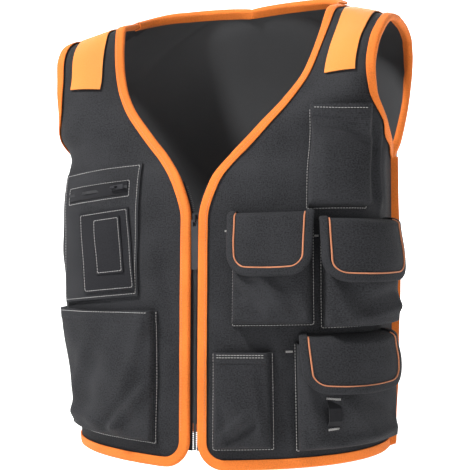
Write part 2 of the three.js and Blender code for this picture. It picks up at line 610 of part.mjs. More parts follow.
function boxPocket(pocket, side) {
  const { from, foot } = pocket;
  const to = from + pocket.width;
  const top = foot + pocket.height;
  const rows = rowsInside(foot + WALL_SLOPE, top);
  const layer = (step, lift) => {
    const heights = [foot - SEAM_MARGIN, foot + step, foot + WALL_SLOPE + step, ...rows, top];
    const marks = marksInside(heights, from + WALL_SLOPE, to - WALL_SLOPE);
    return heights.map((height, j) => {
      const across = [from - SEAM_MARGIN, from + step, from + WALL_SLOPE + step, ...marks[j],
        to - WALL_SLOPE - step, to - step, to + SEAM_MARGIN];
      return across.map((round, i) => {
        const raised = j > 1 && i > 1 && i < across.length - 2;
        const stand = raised ? pocketDepth(pocket, height) - POCKET_CLOTH : 0;
        return offset(onFront(round, height), EASE.pocket + lift + stand);
      });
    });
  };
  return wall(onSide(side, layer(0, POCKET_CLOTH)), onSide(side, layer(POCKET_CLOTH, 0)));
}

// A flap sewn to the panel above its pocket, which folds over the pocket's mouth and hangs in front.
function flapOver(pocket, flap, side) {
  const seam = pocket.foot + pocket.height + FLAP.roof;
  const hangs = height => EASE.pocket + pocketDepth(pocket, height) + FLAP.stand;
  const fold = seam - FLAP.roof / 2;
  const low = seam - flap.drop;
  const bend = FLAP.corner * (1 - Math.SQRT1_2);
  const rows = [
    { height: seam, lift: EASE.pocket, inset: 0 },
    { height: seam - 1, lift: hangs(fold) * 0.6, inset: 0 },
    { height: fold, lift: hangs(fold), inset: 0 },
    { height: (fold + low + FLAP.corner) / 2, lift: hangs(fold) + FLAP.flare / 2, inset: 0 },
    { height: low + FLAP.corner, lift: hangs(low) + FLAP.flare, inset: 0 },
    { height: low + bend, lift: hangs(low) + FLAP.flare, inset: bend },
    { height: low, lift: hangs(low) + FLAP.flare, inset: FLAP.corner },
  ];
  const middle = pocket.from + pocket.width / 2;
  const half = pocket.width / 2 + flap.overhang;
  const [marks] = marksInside([fold], middle - half, middle + half);
  const shares = [-1, ...marks.map(mark => (mark - middle) / half), 1];
  const layer = outer => rows.map((row, j) => {
    const folded = j < 3 && outer ? POCKET_CLOTH : 0;
    const height = row.height + (j > 0 ? folded : 0);
    const lift = row.lift + (outer ? POCKET_CLOTH : 0);
    return shares.map(share => offset(onFront(middle + share * (half - row.inset), height), lift));
  });
  return wall(onSide(side, layer(true)), onSide(side, layer(false)));
}

// A flat sheet sewn on the panel or on another sheet
function patchSheet(patch, side, lift, thickness) {
  const { from, foot, fall } = patch;
  const to = from + patch.width;
  const heights = [foot, ...rowsInside(foot, foot + patch.height), foot + patch.height];
  const marks = marksInside(heights, from, to);
  const layer = stand => heights.map((height, j) =>
    [from, ...marks[j], to].map(round => offset(onFront(round, height - fall * (round - from)), stand)));
  return wall(onSide(side, layer(lift + thickness)), onSide(side, layer(lift)));
}

function addPockets() {
  const left = 1;
  const right = -1;
  const outerPocket = { ...OUTER_FLAP_POCKET,
    from: INNER_FLAP_POCKET.from + INNER_FLAP_POCKET.width + POCKET_SPACING };
  add('chest_pocket', boxPocket(CHEST_POCKET, left), 'charcoal');
  add('inner_flap_pocket', boxPocket(INNER_FLAP_POCKET, left), 'charcoal');
  add('inner_flap', flapOver(INNER_FLAP_POCKET, UPPER_FLAP, left), 'charcoal');
  add('outer_flap_pocket', boxPocket(outerPocket, left), 'charcoal');
  add('outer_flap', flapOver(outerPocket, UPPER_FLAP, left), 'charcoal');
  add('lower_flap_pocket', boxPocket(LOWER_FLAP_POCKET, left), 'charcoal');
  add('lower_flap', flapOver(LOWER_FLAP_POCKET, LOWER_FLAP, left), 'charcoal');
  add('plier_pocket', boxPocket(PLIER_POCKET, left), 'charcoal');
  add('map_pocket', boxPocket(MAP_POCKET, right), 'charcoal');
  add('patch_pocket', patchSheet(PATCH_POCKET, right, EASE.patch, POCKET_CLOTH), 'charcoal');
  add('tool_sleeve', patchSheet(TOOL_SLEEVE, right, ON_PATCH, POCKET_CLOTH), 'charcoal');
  const onSleeve = ON_PATCH + POCKET_CLOTH + SEWN_GAP;
  add('card_pocket', patchSheet(CARD_POCKET, right, onSleeve, POCKET_CLOTH), 'charcoal');
}

// A bar-tacked webbing loop on the front of the lower flap pocket
function addToolLoop() {
  const from = LOWER_FLAP_POCKET.from + TOOL_LOOP.inset;
  const foot = LOWER_FLAP_POCKET.foot + TOOL_LOOP.rise;
  const arch = [[0, 0], [0.12, 0], [0.3, 1], [0.7, 1], [0.88, 0], [1, 0]];
  const layer = lift => arch.map(([share, bow]) => [0, TOOL_LOOP.width].map(step => {
    const height = foot + share * TOOL_LOOP.height;
    const stand = EASE.pocket + pocketDepth(LOWER_FLAP_POCKET, height) + SEWN_GAP + bow * TOOL_LOOP.bow;
    return offset(onFront(from + step, height), stand + lift);
  }));
  add('tool_loop', wall(layer(POCKET_CLOTH), layer(0)), 'charcoal');
}

// The patch pocket's zip: a tape with its chain in one strip, a slider riding on it and its pull
function addSmallZip() {
  const side = -1;
  add('small_zip_tape', patchSheet(SMALL_ZIP, side, ON_PATCH, ZIP_TAPE), 'black');
  const chain = { ...SMALL_ZIP, foot: SMALL_ZIP.foot + (SMALL_ZIP.height - SMALL_ZIP.chain) / 2,
    height: SMALL_ZIP.chain };
  const onTape = ON_PATCH + ZIP_TAPE + GAP;
  add('small_zip_chain', patchSheet(chain, side, onTape, SMALL_ZIP.ridge), 'black');

  const place = step => {
    const round = SMALL_ZIP.from + SMALL_ZIP.slider + step;
    return onFront(round, SMALL_ZIP.foot + SMALL_ZIP.height / 2 - SMALL_ZIP.fall * (round - SMALL_ZIP.from));
  };
  const spot = place(0);
  const flip = v => new THREE.Vector3(side * v.x, v.y, v.z);
  const along = flip(place(1).p.clone().sub(place(-1).p)).normalize();
  const normal = flip(spot.n);
  normal.addScaledVector(along, -normal.dot(along)).normalize();
  const middle = flip(offset(spot, onTape + SMALL_ZIP.ridge + GAP));
  const turn = new THREE.Matrix4().makeBasis(normal.clone().negate().cross(along), normal.clone().negate(), along);
  const front = SMALL_SLIDER.plate;
  const holder = new THREE.Group();
  holder.applyMatrix4(turn);
  holder.position.copy(middle);
  vest.add(holder);
  const body = block(SMALL_SLIDER.width, SMALL_SLIDER.plate, SMALL_SLIDER.height, 0, -SMALL_SLIDER.plate / 2, 0);
  const slider = add('small_zip_slider', meshOf(body.add(bail(SMALL_SLIDER, front))), 'metal',
    { metalness: 0.6, roughness: 0.45 });
  const pull = add('small_zip_pull', pullGeometry(SMALL_SLIDER, SMALL_PULL, front), 'black', { roughness: 0.5 });
  pull.position.copy(pivotOf(SMALL_SLIDER, SMALL_PULL, front));
  holder.add(slider, pull);
}

addFrontPanels();
addBackPanel();
addFrontBindings();
addArmholeBindings();
addBackBindings();
addSideBands();
addShoulderBands();
addZip();
addMainSlider();
addPockets();
addToolLoop();
addSmallZip();

export default vest;
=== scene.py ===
"""The looks of a sleeveless work vest: fine cloth, tapes, stitches, pockets, flaps and zips.

Lengths are in millimetres and heights above the hem until a mesh is made. Side 1 is the wearer's left.
A place on a front is its distance round the chest from the centre front, and its height.
"""
from math import cos, hypot, pi, radians, sin

import bpy
import numpy as np
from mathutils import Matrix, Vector


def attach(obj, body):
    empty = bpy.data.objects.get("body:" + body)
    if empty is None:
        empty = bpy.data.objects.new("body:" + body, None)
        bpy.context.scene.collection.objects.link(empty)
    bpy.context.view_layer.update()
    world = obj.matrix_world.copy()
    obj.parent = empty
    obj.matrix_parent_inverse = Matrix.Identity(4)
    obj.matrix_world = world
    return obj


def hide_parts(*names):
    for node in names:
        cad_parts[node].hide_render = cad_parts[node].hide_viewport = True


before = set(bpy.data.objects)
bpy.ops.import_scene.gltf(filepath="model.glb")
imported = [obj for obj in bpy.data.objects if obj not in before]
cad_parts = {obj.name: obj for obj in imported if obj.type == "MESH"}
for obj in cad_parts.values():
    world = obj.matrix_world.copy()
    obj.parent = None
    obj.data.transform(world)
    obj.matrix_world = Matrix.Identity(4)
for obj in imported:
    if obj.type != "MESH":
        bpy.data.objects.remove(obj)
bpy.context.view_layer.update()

# Driving dimensions of the worn form, as in the frame
SHOULDER_HEIGHT = 553.0
CHEST_HALF = 212.0
NECK_HALF = 139.0
FRONT_DEPTH = 140.0
BACK_DEPTH = 124.0
ZIP_HALF = 6.5
CORNER_RADIUS = 32.0
CLOTH = 2.0
TAPE = 1.2
POCKET_CLOTH = 1.5
GAP = 0.3
SEWN_GAP = 0.5
EASE = {"front": 0.9, "armhole": 1.9, "neck": 2.5, "hem": 0.5, "pocket": 0.9, "patch": 1.3, "shoulder": 1.5}
SIDE_SEAM = 3.0
SHOULDER_SEAM = 1.0
LAST_RUN = 1.085
UNDERARM_RUN = 0.664
NECK_RUN = 0.94
LAST_HEIGHT = LAST_RUN * SHOULDER_HEIGHT - SHOULDER_SEAM / 2
UNDERARM_HEIGHT = UNDERARM_RUN * SHOULDER_HEIGHT

SHARES = ["run", "zIn", "xIn", "yIn", "zOut", "xOut", "yOut",
          "aimIn", "pullIn", "aimOut", "pullOut", "dropIn"]
FRONT_SECTIONS = [
    [0.000, 0.000, 0.000, -1.000, 0.031, 0.934, 0.000, 0, 0.53, 95, 0.33, 0.33],
    [0.154, 0.154, 0.000, -1.000, 0.175, 0.943, 0.000, 0, 0.60, 95, 0.38, 0.33],
    [0.362, 0.362, 0.000, -0.993, 0.376, 0.967, 0.000, 0, 0.72, 95, 0.50, 0.33],
    [0.521, 0.521, 0.000, -0.979, 0.528, 0.962, 0.000, 0, 0.74, 95, 0.52, 0.33],
    [0.602, 0.602, 0.094, -0.957, 0.618, 0.962, 0.000, 0, 0.72, 95, 0.52, 0.33],
    [0.664, 0.664, 0.275, -0.871, 0.669, 0.962, 0.000, -2, 0.68, 95, 0.50, 0.33],
    [0.696, 0.696, 0.396, -0.836, 0.691, 0.981, -0.136, -3, 0.60, 95, 0.46, 0.33],
    [0.727, 0.727, 0.509, -0.800, 0.725, 0.997, -0.457, -4, 0.50, 90, 0.36, 0.33],
    [0.778, 0.778, 0.691, -0.714, 0.790, 0.974, -0.650, -10, 0.38, 45, 0.34, 0.33],
    [0.835, 0.835, 0.834, -0.593, 0.839, 0.976, -0.693, -22, 0.35, 20, 0.33, 0.33],
    [0.890, 0.890, 0.909, -0.507, 0.890, 0.993, -0.661, -25, 0.33, 10, 0.33, 0.33],
    [0.949, 0.949, 0.962, -0.411, 0.929, 1.014, -0.550, -18, 0.33, 5, 0.33, 0.33],
    [0.998, 0.993, 0.991, -0.321, 0.955, 1.024, -0.386, -8, 0.33, 0, 0.33, 0.33],
    [1.042, 1.009, 1.002, -0.157, 0.971, 1.025, -0.171, -3, 0.33, 0, 0.33, 0.33],
    [1.085, 1.022, 1.002, 0.000, 0.978, 1.026, 0.000, 0, 0.33, 0, 0.33, 0.33],
]
BACK_SECTIONS = [
    [0.000, 0.000, 0.000, 0.919, 0.031, 0.934, 0.000, 0, 0.62, -95, 0.50, 0.33],
    [0.154, 0.154, 0.000, 0.935, 0.175, 0.943, 0.000, 0, 0.62, -95, 0.50, 0.33],
    [0.362, 0.362, 0.000, 0.960, 0.376, 0.967, 0.000, 0, 0.62, -95, 0.50, 0.33],
    [0.521, 0.524, 0.000, 0.984, 0.528, 0.962, 0.000, 0, 0.62, -95, 0.50, 0.33],
    [0.602, 0.635, 0.000, 1.000, 0.618, 0.962, 0.000, 0, 0.62, -95, 0.50, 0.20],
    [0.664, 0.725, 0.000, 1.000, 0.669, 0.962, 0.000, 0, 0.60, -95, 0.48, 0.00],
    [0.720, 0.815, 0.000, 0.968, 0.702, 0.986, 0.081, 0, 0.58, -92, 0.47, 0.00],
    [0.778, 0.896, 0.000, 0.887, 0.745, 1.005, 0.177, 0, 0.56, -88, 0.45, 0.00],
    [0.841, 0.976, 0.000, 0.750, 0.796, 1.019, 0.306, 0, 0.52, -84, 0.42, 0.00],
    [0.904, 1.034, 0.000, 0.630, 0.846, 1.028, 0.419, 0, 0.46, -72, 0.39, 0.00],
    [0.940, 1.066, 0.000, 0.565, 0.875, 1.031, 0.484, 0, 0.42, -64, 0.37, 0.00],
    [0.976, 1.073, 0.417, 0.553, 0.917, 1.034, 0.548, 14, 0.36, -45, 0.34, 0.20],
    [1.013, 1.068, 0.734, 0.470, 0.951, 1.035, 0.532, 12, 0.34, -28, 0.33, 0.30],
    [1.049, 1.047, 0.942, 0.270, 0.975, 1.031, 0.290, 5, 0.33, -10, 0.33, 0.33],
    [1.085, 1.022, 1.002, 0.000, 0.978, 1.026, 0.000, 0, 0.33, 0, 0.33, 0.33],
]

# Pockets: from and width run round the chest, foot and height above the hem, depth and mouth are how
# far the foot and the top stand off the cloth. A line drops by fall for each millimetre outwards, and
# a side leans outwards by lean for each millimetre up.
CHEST_POCKET = {"from": 136, "width": 66, "foot": 298, "height": 116, "depth": 17, "mouth": 14}
INNER_FLAP_POCKET = {"from": 50, "width": 90, "foot": 166, "height": 118, "depth": 17, "mouth": 15}
OUTER_FLAP_POCKET = {"from": 152, "width": 90, "foot": 162, "height": 114, "depth": 22, "mouth": 18}
LOWER_FLAP_POCKET = {"from": 122, "width": 122, "foot": 21, "height": 123, "depth": 22, "mouth": 17}
PLIER_POCKET = {"from": 27, "width": 66, "foot": 24, "height": 110, "depth": 9, "mouth": 11}
MAP_POCKET = {"from": 48, "width": 148, "foot": 27, "height": 154, "depth": 10, "mouth": 8}
PATCH_POCKET = {"from": 72, "width": 118, "foot": 198, "height": 160, "fall": 0.1, "lean": 0}
TOOL_SLEEVE = {"from": 75, "width": 72, "foot": 206, "height": 98, "fall": 0.1, "lean": 0.1}
CARD_POCKET = {"from": 89, "width": 38, "foot": 226, "height": 68, "fall": 0.1, "lean": 0.1}
SMALL_ZIP = {"from": 88, "width": 88, "foot": 321, "height": 14, "fall": 0.11, "lean": 0}
UPPER_FLAP = {"overhang": 3, "drop": 69}
LOWER_FLAP = {"overhang": -4, "drop": 60}
FLAP = {"roof": 9, "stand": 1.5, "flare": 2, "corner": 22, "taper": 3.5, "sag": 3, "crown": 2.2, "curl": 3}
FLAP_EDGE = {"width": 8.0, "ease": 0.25}
PIPE = {"inset": 8.6, "radius": 0.95, "sides": 8, "fold": 13.0, "proud": 0.7}
BAR_TACK = {"below": 18, "clear": 4, "length": 8, "high": 2.4, "pitch": 0.8}
TOOL_LOOP = {"width": 12, "height": 38, "inset": 28, "rise": 25, "stand": 2.4}
POCKET_GRID = {"margin": 3, "step": 2.6}

# How far the shown tapes reach onto the cloth, then the side fins, the shoulder bands and the stitches.
# A stitch ring is its place along the stitch and its share of the thickness.
BINDING_SHOWN = 10.4
ARMHOLE_SHOWN = 9.0
SIDE_BAND = {"width": 10.0, "half": 1.5, "round": 0.9}
STRIP = {"margin": 21.0, "drop": 142.0, "back_run": 0.93, "crown": 0.5}
STITCH = {"pitch": 3.4, "length": 2.5, "half": 0.34, "proud": 0.16, "sides": 5}
STITCH_RINGS = [(-1.0, 0.45), (-0.72, 1.0), (0.72, 1.0), (1.0, 0.45)]

# Low waves in the cloth as height and length, and how far from an edge the relief fades
WAVES = {"front": (0.7, 90), "back": (0.9, 110), "flap": (0.45, 40), "patch": (0.25, 50)}
POCKET_WAVE = 46
CALM = {"edge": 30, "hem": 24, "neck": 60, "pocket": 14}

# A fin's bulges as rise, height and half width, and its sways as size and length
FIN_BULGES = [(2.2, 95, 40), (1.2, 250, 50)]
FIN_SWAYS = [(0.9, 31.0), (0.5, 13.0)]

# How far seams run from an outline: outside a box pocket, inside a tape's lip and inside a flat pocket
POCKET_SEAM = {"side": 1.8, "foot": 1.6, "top": 1}
LIP_SEAM = {"in": 2.2, "proud": 0.3}
PATCH_SEAM = {"patch": 3.0, "sleeve": 2.5, "card": 2.2, "zip": 2.5}

# Main zip
ZIP_FOOT = 20.0
ZIP_OPEN_HEIGHT = 296.0
ZIP_TAPE_TOP = 335.0
ZIP_TAPE_LAP = 9.0
ZIP_TAPE = 0.8
SLIDER_HEIGHT = 13.0
ZIP_PITCH = 2.2
ZIP_TAPE_START = 2.6
CLOSED_TOOTH = (3.4, 2.4, 0.8)
OPEN_TOOTH = (2.6, 2.0, 0.9)
ZIP_SETBACK = CLOTH / 2 + EASE["front"] + TAPE + SEWN_GAP + ZIP_TAPE / 2

# Camera and studio, in metres, degrees and watts
VIEW = {"aim": (0, 0, -0.276), "distance": 1.3, "azimuth": 20, "elevation": -3}
SENSOR = 36
PHOTO_PIXELS = 470
FOCAL_PIXELS = 1000
WORLD_STRENGTH = 0.38
LIGHTS = [  # name, place, aim, size, power
    ["key", (-1.2, -1.2, 1.7), (0, 0, -0.25), 0.4, 105],
    ["fill", (2.1, -1.7, 0.5), (0, 0, -0.3), 1.6, 14],
    ["rim", (-0.6, 1.8, 1.6), (0, 0, -0.2), 1.4, 24],
]
STAGE = [  # name, place, turn, glow
    ["floor", (0, 0, -0.62), 0, 0.45],
    ["backdrop", (0, 4, 0), 90, 1.0],
]


def set_inputs(node, values):
    for key, value in values.items():
        node.inputs[key].default_value = value


def put(name, data, place, aim):
    """An object with this data at a place, turned towards its aim."""
    thing = bpy.data.objects.new(name, data)
    thing.location = place
    thing.rotation_euler = (Vector(aim) - Vector(place)).to_track_quat("-Z", "Y").to_euler()
    bpy.context.scene.collection.objects.link(thing)
    return thing


def add_camera():
    azimuth, elevation = radians(VIEW["azimuth"]), radians(VIEW["elevation"])
    level, rise = VIEW["distance"] * cos(elevation), VIEW["distance"] * sin(elevation)
    offset = Vector((level * sin(azimuth), -level * cos(azimuth), rise))
    data = bpy.data.cameras.new("camera")
    data.sensor_width = SENSOR
    data.lens = SENSOR * FOCAL_PIXELS / PHOTO_PIXELS
    bpy.context.scene.camera = put("camera", data, Vector(VIEW["aim"]) + offset, VIEW["aim"])


def add_studio():
    for name, place, aim, size, power in LIGHTS:
        data = bpy.data.lights.new(name, "AREA")
        data.size = size
        data.energy = power
        put(name, data, place, aim)
    world = bpy.data.worlds.new("studio")
    world.use_nodes = True
    set_inputs(world.node_tree.nodes["Background"], {"Color": (1, 1, 1, 1), "Strength": WORLD_STRENGTH})
    bpy.context.scene.world = world
    bpy.context.scene.view_settings.view_transform = "Standard"
    for name, place, turn, glow in STAGE:
        bpy.ops.mesh.primitive_plane_add(size=9, location=place, rotation=(radians(turn), 0, 0))
        plane = bpy.context.object
        plane.name = name
        material = bpy.data.materials.new(name)
        material.use_nodes = True
        set_inputs(material.node_tree.nodes["Principled BSDF"], {
            "Base Color": (0.94, 0.94, 0.94, 1), "Roughness": 0.9,
            "Emission Color": (1, 1, 1, 1), "Emission Strength": glow})
        plane.data.materials.append(material)


# Cloth surfaces

def unit(v):
    return v / np.linalg.norm(v, axis=-1, keepdims=True)


def mirrored(points, side):
    return points * np.array([side, 1, 1])


class SmoothColumn:
    """A smooth curve through a table's column that doesn't overshoot its rows."""

    def __init__(self, xs, ys):
        self.xs, self.ys = np.asarray(xs, float), np.asarray(ys, float)
        steps = np.diff(self.xs)
        rises = np.diff(self.ys) / steps
        slopes = np.zeros(len(self.xs))
        slopes[0], slopes[-1] = rises[0], rises[-1]
        for i in range(1, len(rises)):
            if rises[i - 1] * rises[i] > 0:
                before = 2 * steps[i] + steps[i - 1]
                after = steps[i] + 2 * steps[i - 1]
                slopes[i] = (before + after) / (before / rises[i - 1] + after / rises[i])
        self.steps, self.slopes = steps, slopes

    def __call__(self, x):
        i = np.clip(np.searchsorted(self.xs, x, side="right") - 1, 0, len(self.steps) - 1)
        t = (x - self.xs[i]) / self.steps[i]
        rest = 1 - t
        bend = self.steps[i] * (self.slopes[i] * t * rest ** 2 - self.slopes[i + 1] * t ** 2 * rest)
        return self.ys[i] * (1 + 2 * t) * rest ** 2 + self.ys[i + 1] * t ** 2 * (3 - 2 * t) + bend


class Cloth:
    """A cloth surface, charted by the distance across from its inner edge and by height."""

    STEP = 2.0
    MARGIN = 10

    def __init__(self, sections, depth, neck_start, outward):
        table = np.array(sections)
        heights = np.arange(0, LAST_RUN * SHOULDER_HEIGHT + 0.01, self.STEP)
        runs = np.minimum(heights / SHOULDER_HEIGHT, LAST_RUN)
        at = {name: SmoothColumn(table[:, 0], table[:, k])(runs) for k, name in enumerate(SHARES)}
        inner = np.stack([neck_start + at["xIn"] * (NECK_HALF - neck_start), at["yIn"] * depth,
                          at["zIn"] * SHOULDER_HEIGHT], -1)
        outer = np.stack([at["xOut"] * CHEST_HALF, at["yOut"] * depth, at["zOut"] * SHOULDER_HEIGHT], -1)
        span = np.linalg.norm(outer - inner, axis=-1)

        def handle(start, aim, pull, share, sign):
            angle = np.radians(at[aim])
            reach = sign * at[pull] * span
            x, y = start[:, 0] + reach * np.cos(angle), start[:, 1] + reach * np.sin(angle)
            return np.stack([x, y, inner[:, 2] + (outer[:, 2] - inner[:, 2]) * share], -1)

        near = handle(inner, "aimIn", "pullIn", at["dropIn"], 1)
        far = handle(outer, "aimOut", "pullOut", 2 / 3, -1)
        t = np.linspace(0, 1, 161)[None, :, None]
        corners = [c[:, None, :] for c in (inner, near, far, outer)]
        weights = [(1 - t) ** 3, 3 * t * (1 - t) ** 2, 3 * t ** 2 * (1 - t), t ** 3]
        curve = sum(w * c for w, c in zip(weights, corners))
        arcs = np.concatenate([np.zeros((len(heights), 1)),
                               np.cumsum(np.linalg.norm(np.diff(curve, axis=1), axis=-1), axis=1)], 1)
        length = arcs[:, -1]
        self.first_across = -self.MARGIN * self.STEP
        across = np.arange(self.first_across, length.max() + 20, self.STEP)
        points = np.zeros((len(heights), len(across), 3))
        for j, arc in enumerate(arcs):
            inside = np.clip(across, 0, length[j])
            ends = [unit(curve[j, 1] - curve[j, 0]), unit(curve[j, -1] - curve[j, -2])]
            for k in range(3):
                points[j, :, k] = np.interp(inside, arc, curve[j, :, k])
            points[j] += np.minimum(across, 0)[:, None] * ends[0]
            points[j] += np.maximum(across - length[j], 0)[:, None] * ends[1]
        below = [points[0] - (points[1] - points[0]) * k for k in range(self.MARGIN, 0, -1)]
        above = [points[-1] + (points[-1] - points[-2]) * k for k in range(1, self.MARGIN + 1)]
        self.points = np.concatenate([below, points, above])
        self.first_height = -self.MARGIN * self.STEP
        along = np.gradient(self.points, axis=1)
        up = np.gradient(self.points, axis=0)
        self.normals = unit(np.cross(along, up) * outward)
        self.heights = heights
        self.lengths = length
        self.starts = inner[:, 0]

    def width(self, height):
        return np.interp(height, self.heights, self.lengths) - SIDE_SEAM / 2 - GAP

    def start(self, height):
        return np.interp(height, self.heights, self.starts)

    def look(self, across, height):
        """The point and the outward normal at each place."""
        across, height = np.broadcast_arrays(np.asarray(across, float), np.asarray(height, float))
        i = (across - self.first_across) / self.STEP
        j = (height - self.first_height) / self.STEP
        i0 = np.clip(np.floor(i).astype(int), 0, self.points.shape[1] - 2)
        j0 = np.clip(np.floor(j).astype(int), 0, self.points.shape[0] - 2)
        s, t = (i - i0)[..., None], (j - j0)[..., None]
        mixed = []
        for grid in (self.points, self.normals):
            low = grid[j0, i0] * (1 - s) + grid[j0, i0 + 1] * s
            high = grid[j0 + 1, i0] * (1 - s) + grid[j0 + 1, i0 + 1] * s
            mixed.append(low * (1 - t) + high * t)
        p, n = mixed
        return p, unit(n)


FRONT = Cloth(FRONT_SECTIONS, FRONT_DEPTH, ZIP_HALF, 1)
BACK = Cloth(BACK_SECTIONS, BACK_DEPTH, 0, -1)


# Folds. Each row is a soft ridge or valley: its two ends as places, its half width and its rise.
FOLDS_LEFT = [
    [220, 396, 233, 310, 5, 4.2],
    [211, 392, 222, 312, 5, -3.2],
    [238, 380, 246, 318, 7, -2.8],
    [36, 120, 24, 30, 8, 1.6],
    [96, 160, 116, 30, 8, 2.4],
    [60, 380, 110, 330, 22, -2.0],
    [205, 440, 175, 425, 16, 1.8],
    [95, 430, 150, 448, 18, -1.6],
]
FOLDS_RIGHT = [
    [60, 250, 34, 140, 16, 2.2],
    [36, 230, 18, 120, 12, -1.8],
    [60, 400, 100, 430, 20, -1.8],
    [30, 110, 46, 30, 9, 2.0],
    [196, 330, 214, 250, 12, 2.0],
    [205, 190, 220, 90, 12, -2.0],
]
FOLDS_BACK = [
    [40, 130, 150, 170, 26, 3.0],
    [60, 260, 180, 300, 22, -2.6],
    [20, 420, 120, 400, 30, 2.4],
    [150, 60, 200, 120, 20, 2.2],
]


def fold_lift(rows, round_, height):
    lift = 0.0
    for x0, z0, x1, z1, half, rise in rows:
        length = hypot(x1 - x0, z1 - z0)
        dx, dz = (x1 - x0) / length, (z1 - z0) / length
        along = (round_ - x0) * dx + (height - z0) * dz
        beside = (round_ - x0) * dz - (height - z0) * dx
        past = np.maximum(np.maximum(-along, along - length), 0)
        lift = lift + rise * np.exp(-(beside / half) ** 2 - (past / (2.2 * half)) ** 2)
    return lift


def ripple(round_, height, seed, size, wave):
    """Low uneven waves, the same at each run."""
    rng = np.random.default_rng(seed)
    total = 0.0
    for _ in range(7):
        angle = rng.uniform(0, pi)
        length = wave * rng.uniform(0.6, 1.6)
        phase = rng.uniform(0, 2 * pi)
        place = (round_ * cos(angle) + height * sin(angle)) / length
        total = total + np.sin(2 * pi * place + phase)
    return size * total / 2.6


def soft_step(x):
    x = np.clip(x, 0, 1)
    return x * x * (3 - 2 * x)

class Front:
    """One front of the vest: places on it, with its folds, mirrored for the wearer's right."""

    def __init__(self, side, name, folds, seed):
        self.side, self.name, self.folds, self.seed = side, name, folds, seed

    def relief(self, round_, height):
        across = round_ - FRONT.start(height)
        edge = np.minimum(across, FRONT.width(height) - across)
        calm = soft_step(edge / CALM["edge"]) * soft_step(height / CALM["hem"])
        waves = ripple(round_, height, self.seed, *WAVES["front"])
        return calm * (fold_lift(self.folds, round_, height) + waves)

    def __call__(self, round_, height, lift=0.0):
        """The point this far off the outer face of the cloth."""
        p, n = FRONT.look(round_ - FRONT.start(height), height)
        rise = CLOTH / 2 + lift + self.relief(round_, height)
        return mirrored(p + n * rise[..., None], self.side)

    def across(self, across, height, lift=0.0):
        return self(across + FRONT.start(height), height, lift)

    def middle(self, across, height):
        """The middle of the cloth."""
        return self.across(across, height, -CLOTH / 2)


LEFT = Front(1, "left", FOLDS_LEFT, 3)
RIGHT = Front(-1, "right", FOLDS_RIGHT, 5)
FRONTS = (LEFT, RIGHT)


def back_point(side, across, height, lift=0.0):
    """The point this far off the middle of the back's cloth."""
    p, n = BACK.look(across, height)
    calm = soft_step((BACK.width(height) - across) / CALM["edge"]) * soft_step(height / CALM["hem"])
    neck = soft_step((1.03 * SHOULDER_HEIGHT - height) / CALM["neck"])
    waves = fold_lift(FOLDS_BACK, across, height) + ripple(across, height, 8, *WAVES["back"])
    return mirrored(p + n * (lift + calm * neck * waves)[..., None], side)


# Materials

class Nodes:
    """A short way to write a material's nodes."""

    def __init__(self, name):
        self.material = bpy.data.materials.new(name)
        self.material.use_nodes = True
        self.tree = self.material.node_tree
        self.shader = self.tree.nodes["Principled BSDF"]

    def add(self, kind, inputs=None, **settings):
        node = self.tree.nodes.new(kind)
        for key, value in settings.items():
            setattr(node, key, value)
        for key, value in (inputs or {}).items():
            if isinstance(value, bpy.types.NodeSocket):
                self.tree.links.new(value, node.inputs[key])
            else:
                node.inputs[key].default_value = value
        return node

    def math(self, operation, *values):
        return self.add("ShaderNodeMath", dict(enumerate(values)), operation=operation).outputs[0]

    def noise(self, place, scale, detail, roughness=0.5):
        inputs = {"Vector": place, "Scale": scale, "Detail": detail, "Roughness": roughness}
        return self.add("ShaderNodeTexNoise", inputs).outputs["Fac"]

    def link(self, value, key):
        self.tree.links.new(value, self.shader.inputs[key])

    def ramp(self, value, stops):
        node = self.add("ShaderNodeValToRGB", {"Fac": value})
        band = node.color_ramp
        while len(band.elements) < len(stops):
            band.elements.new(0.5)
        for element, (place, colour) in zip(band.elements, stops):
            element.position = place
            element.color = (*colour, 1)
        return node.outputs["Color"]


def shaded(colour, share):
    return tuple(min(c * share, 1) for c in colour)


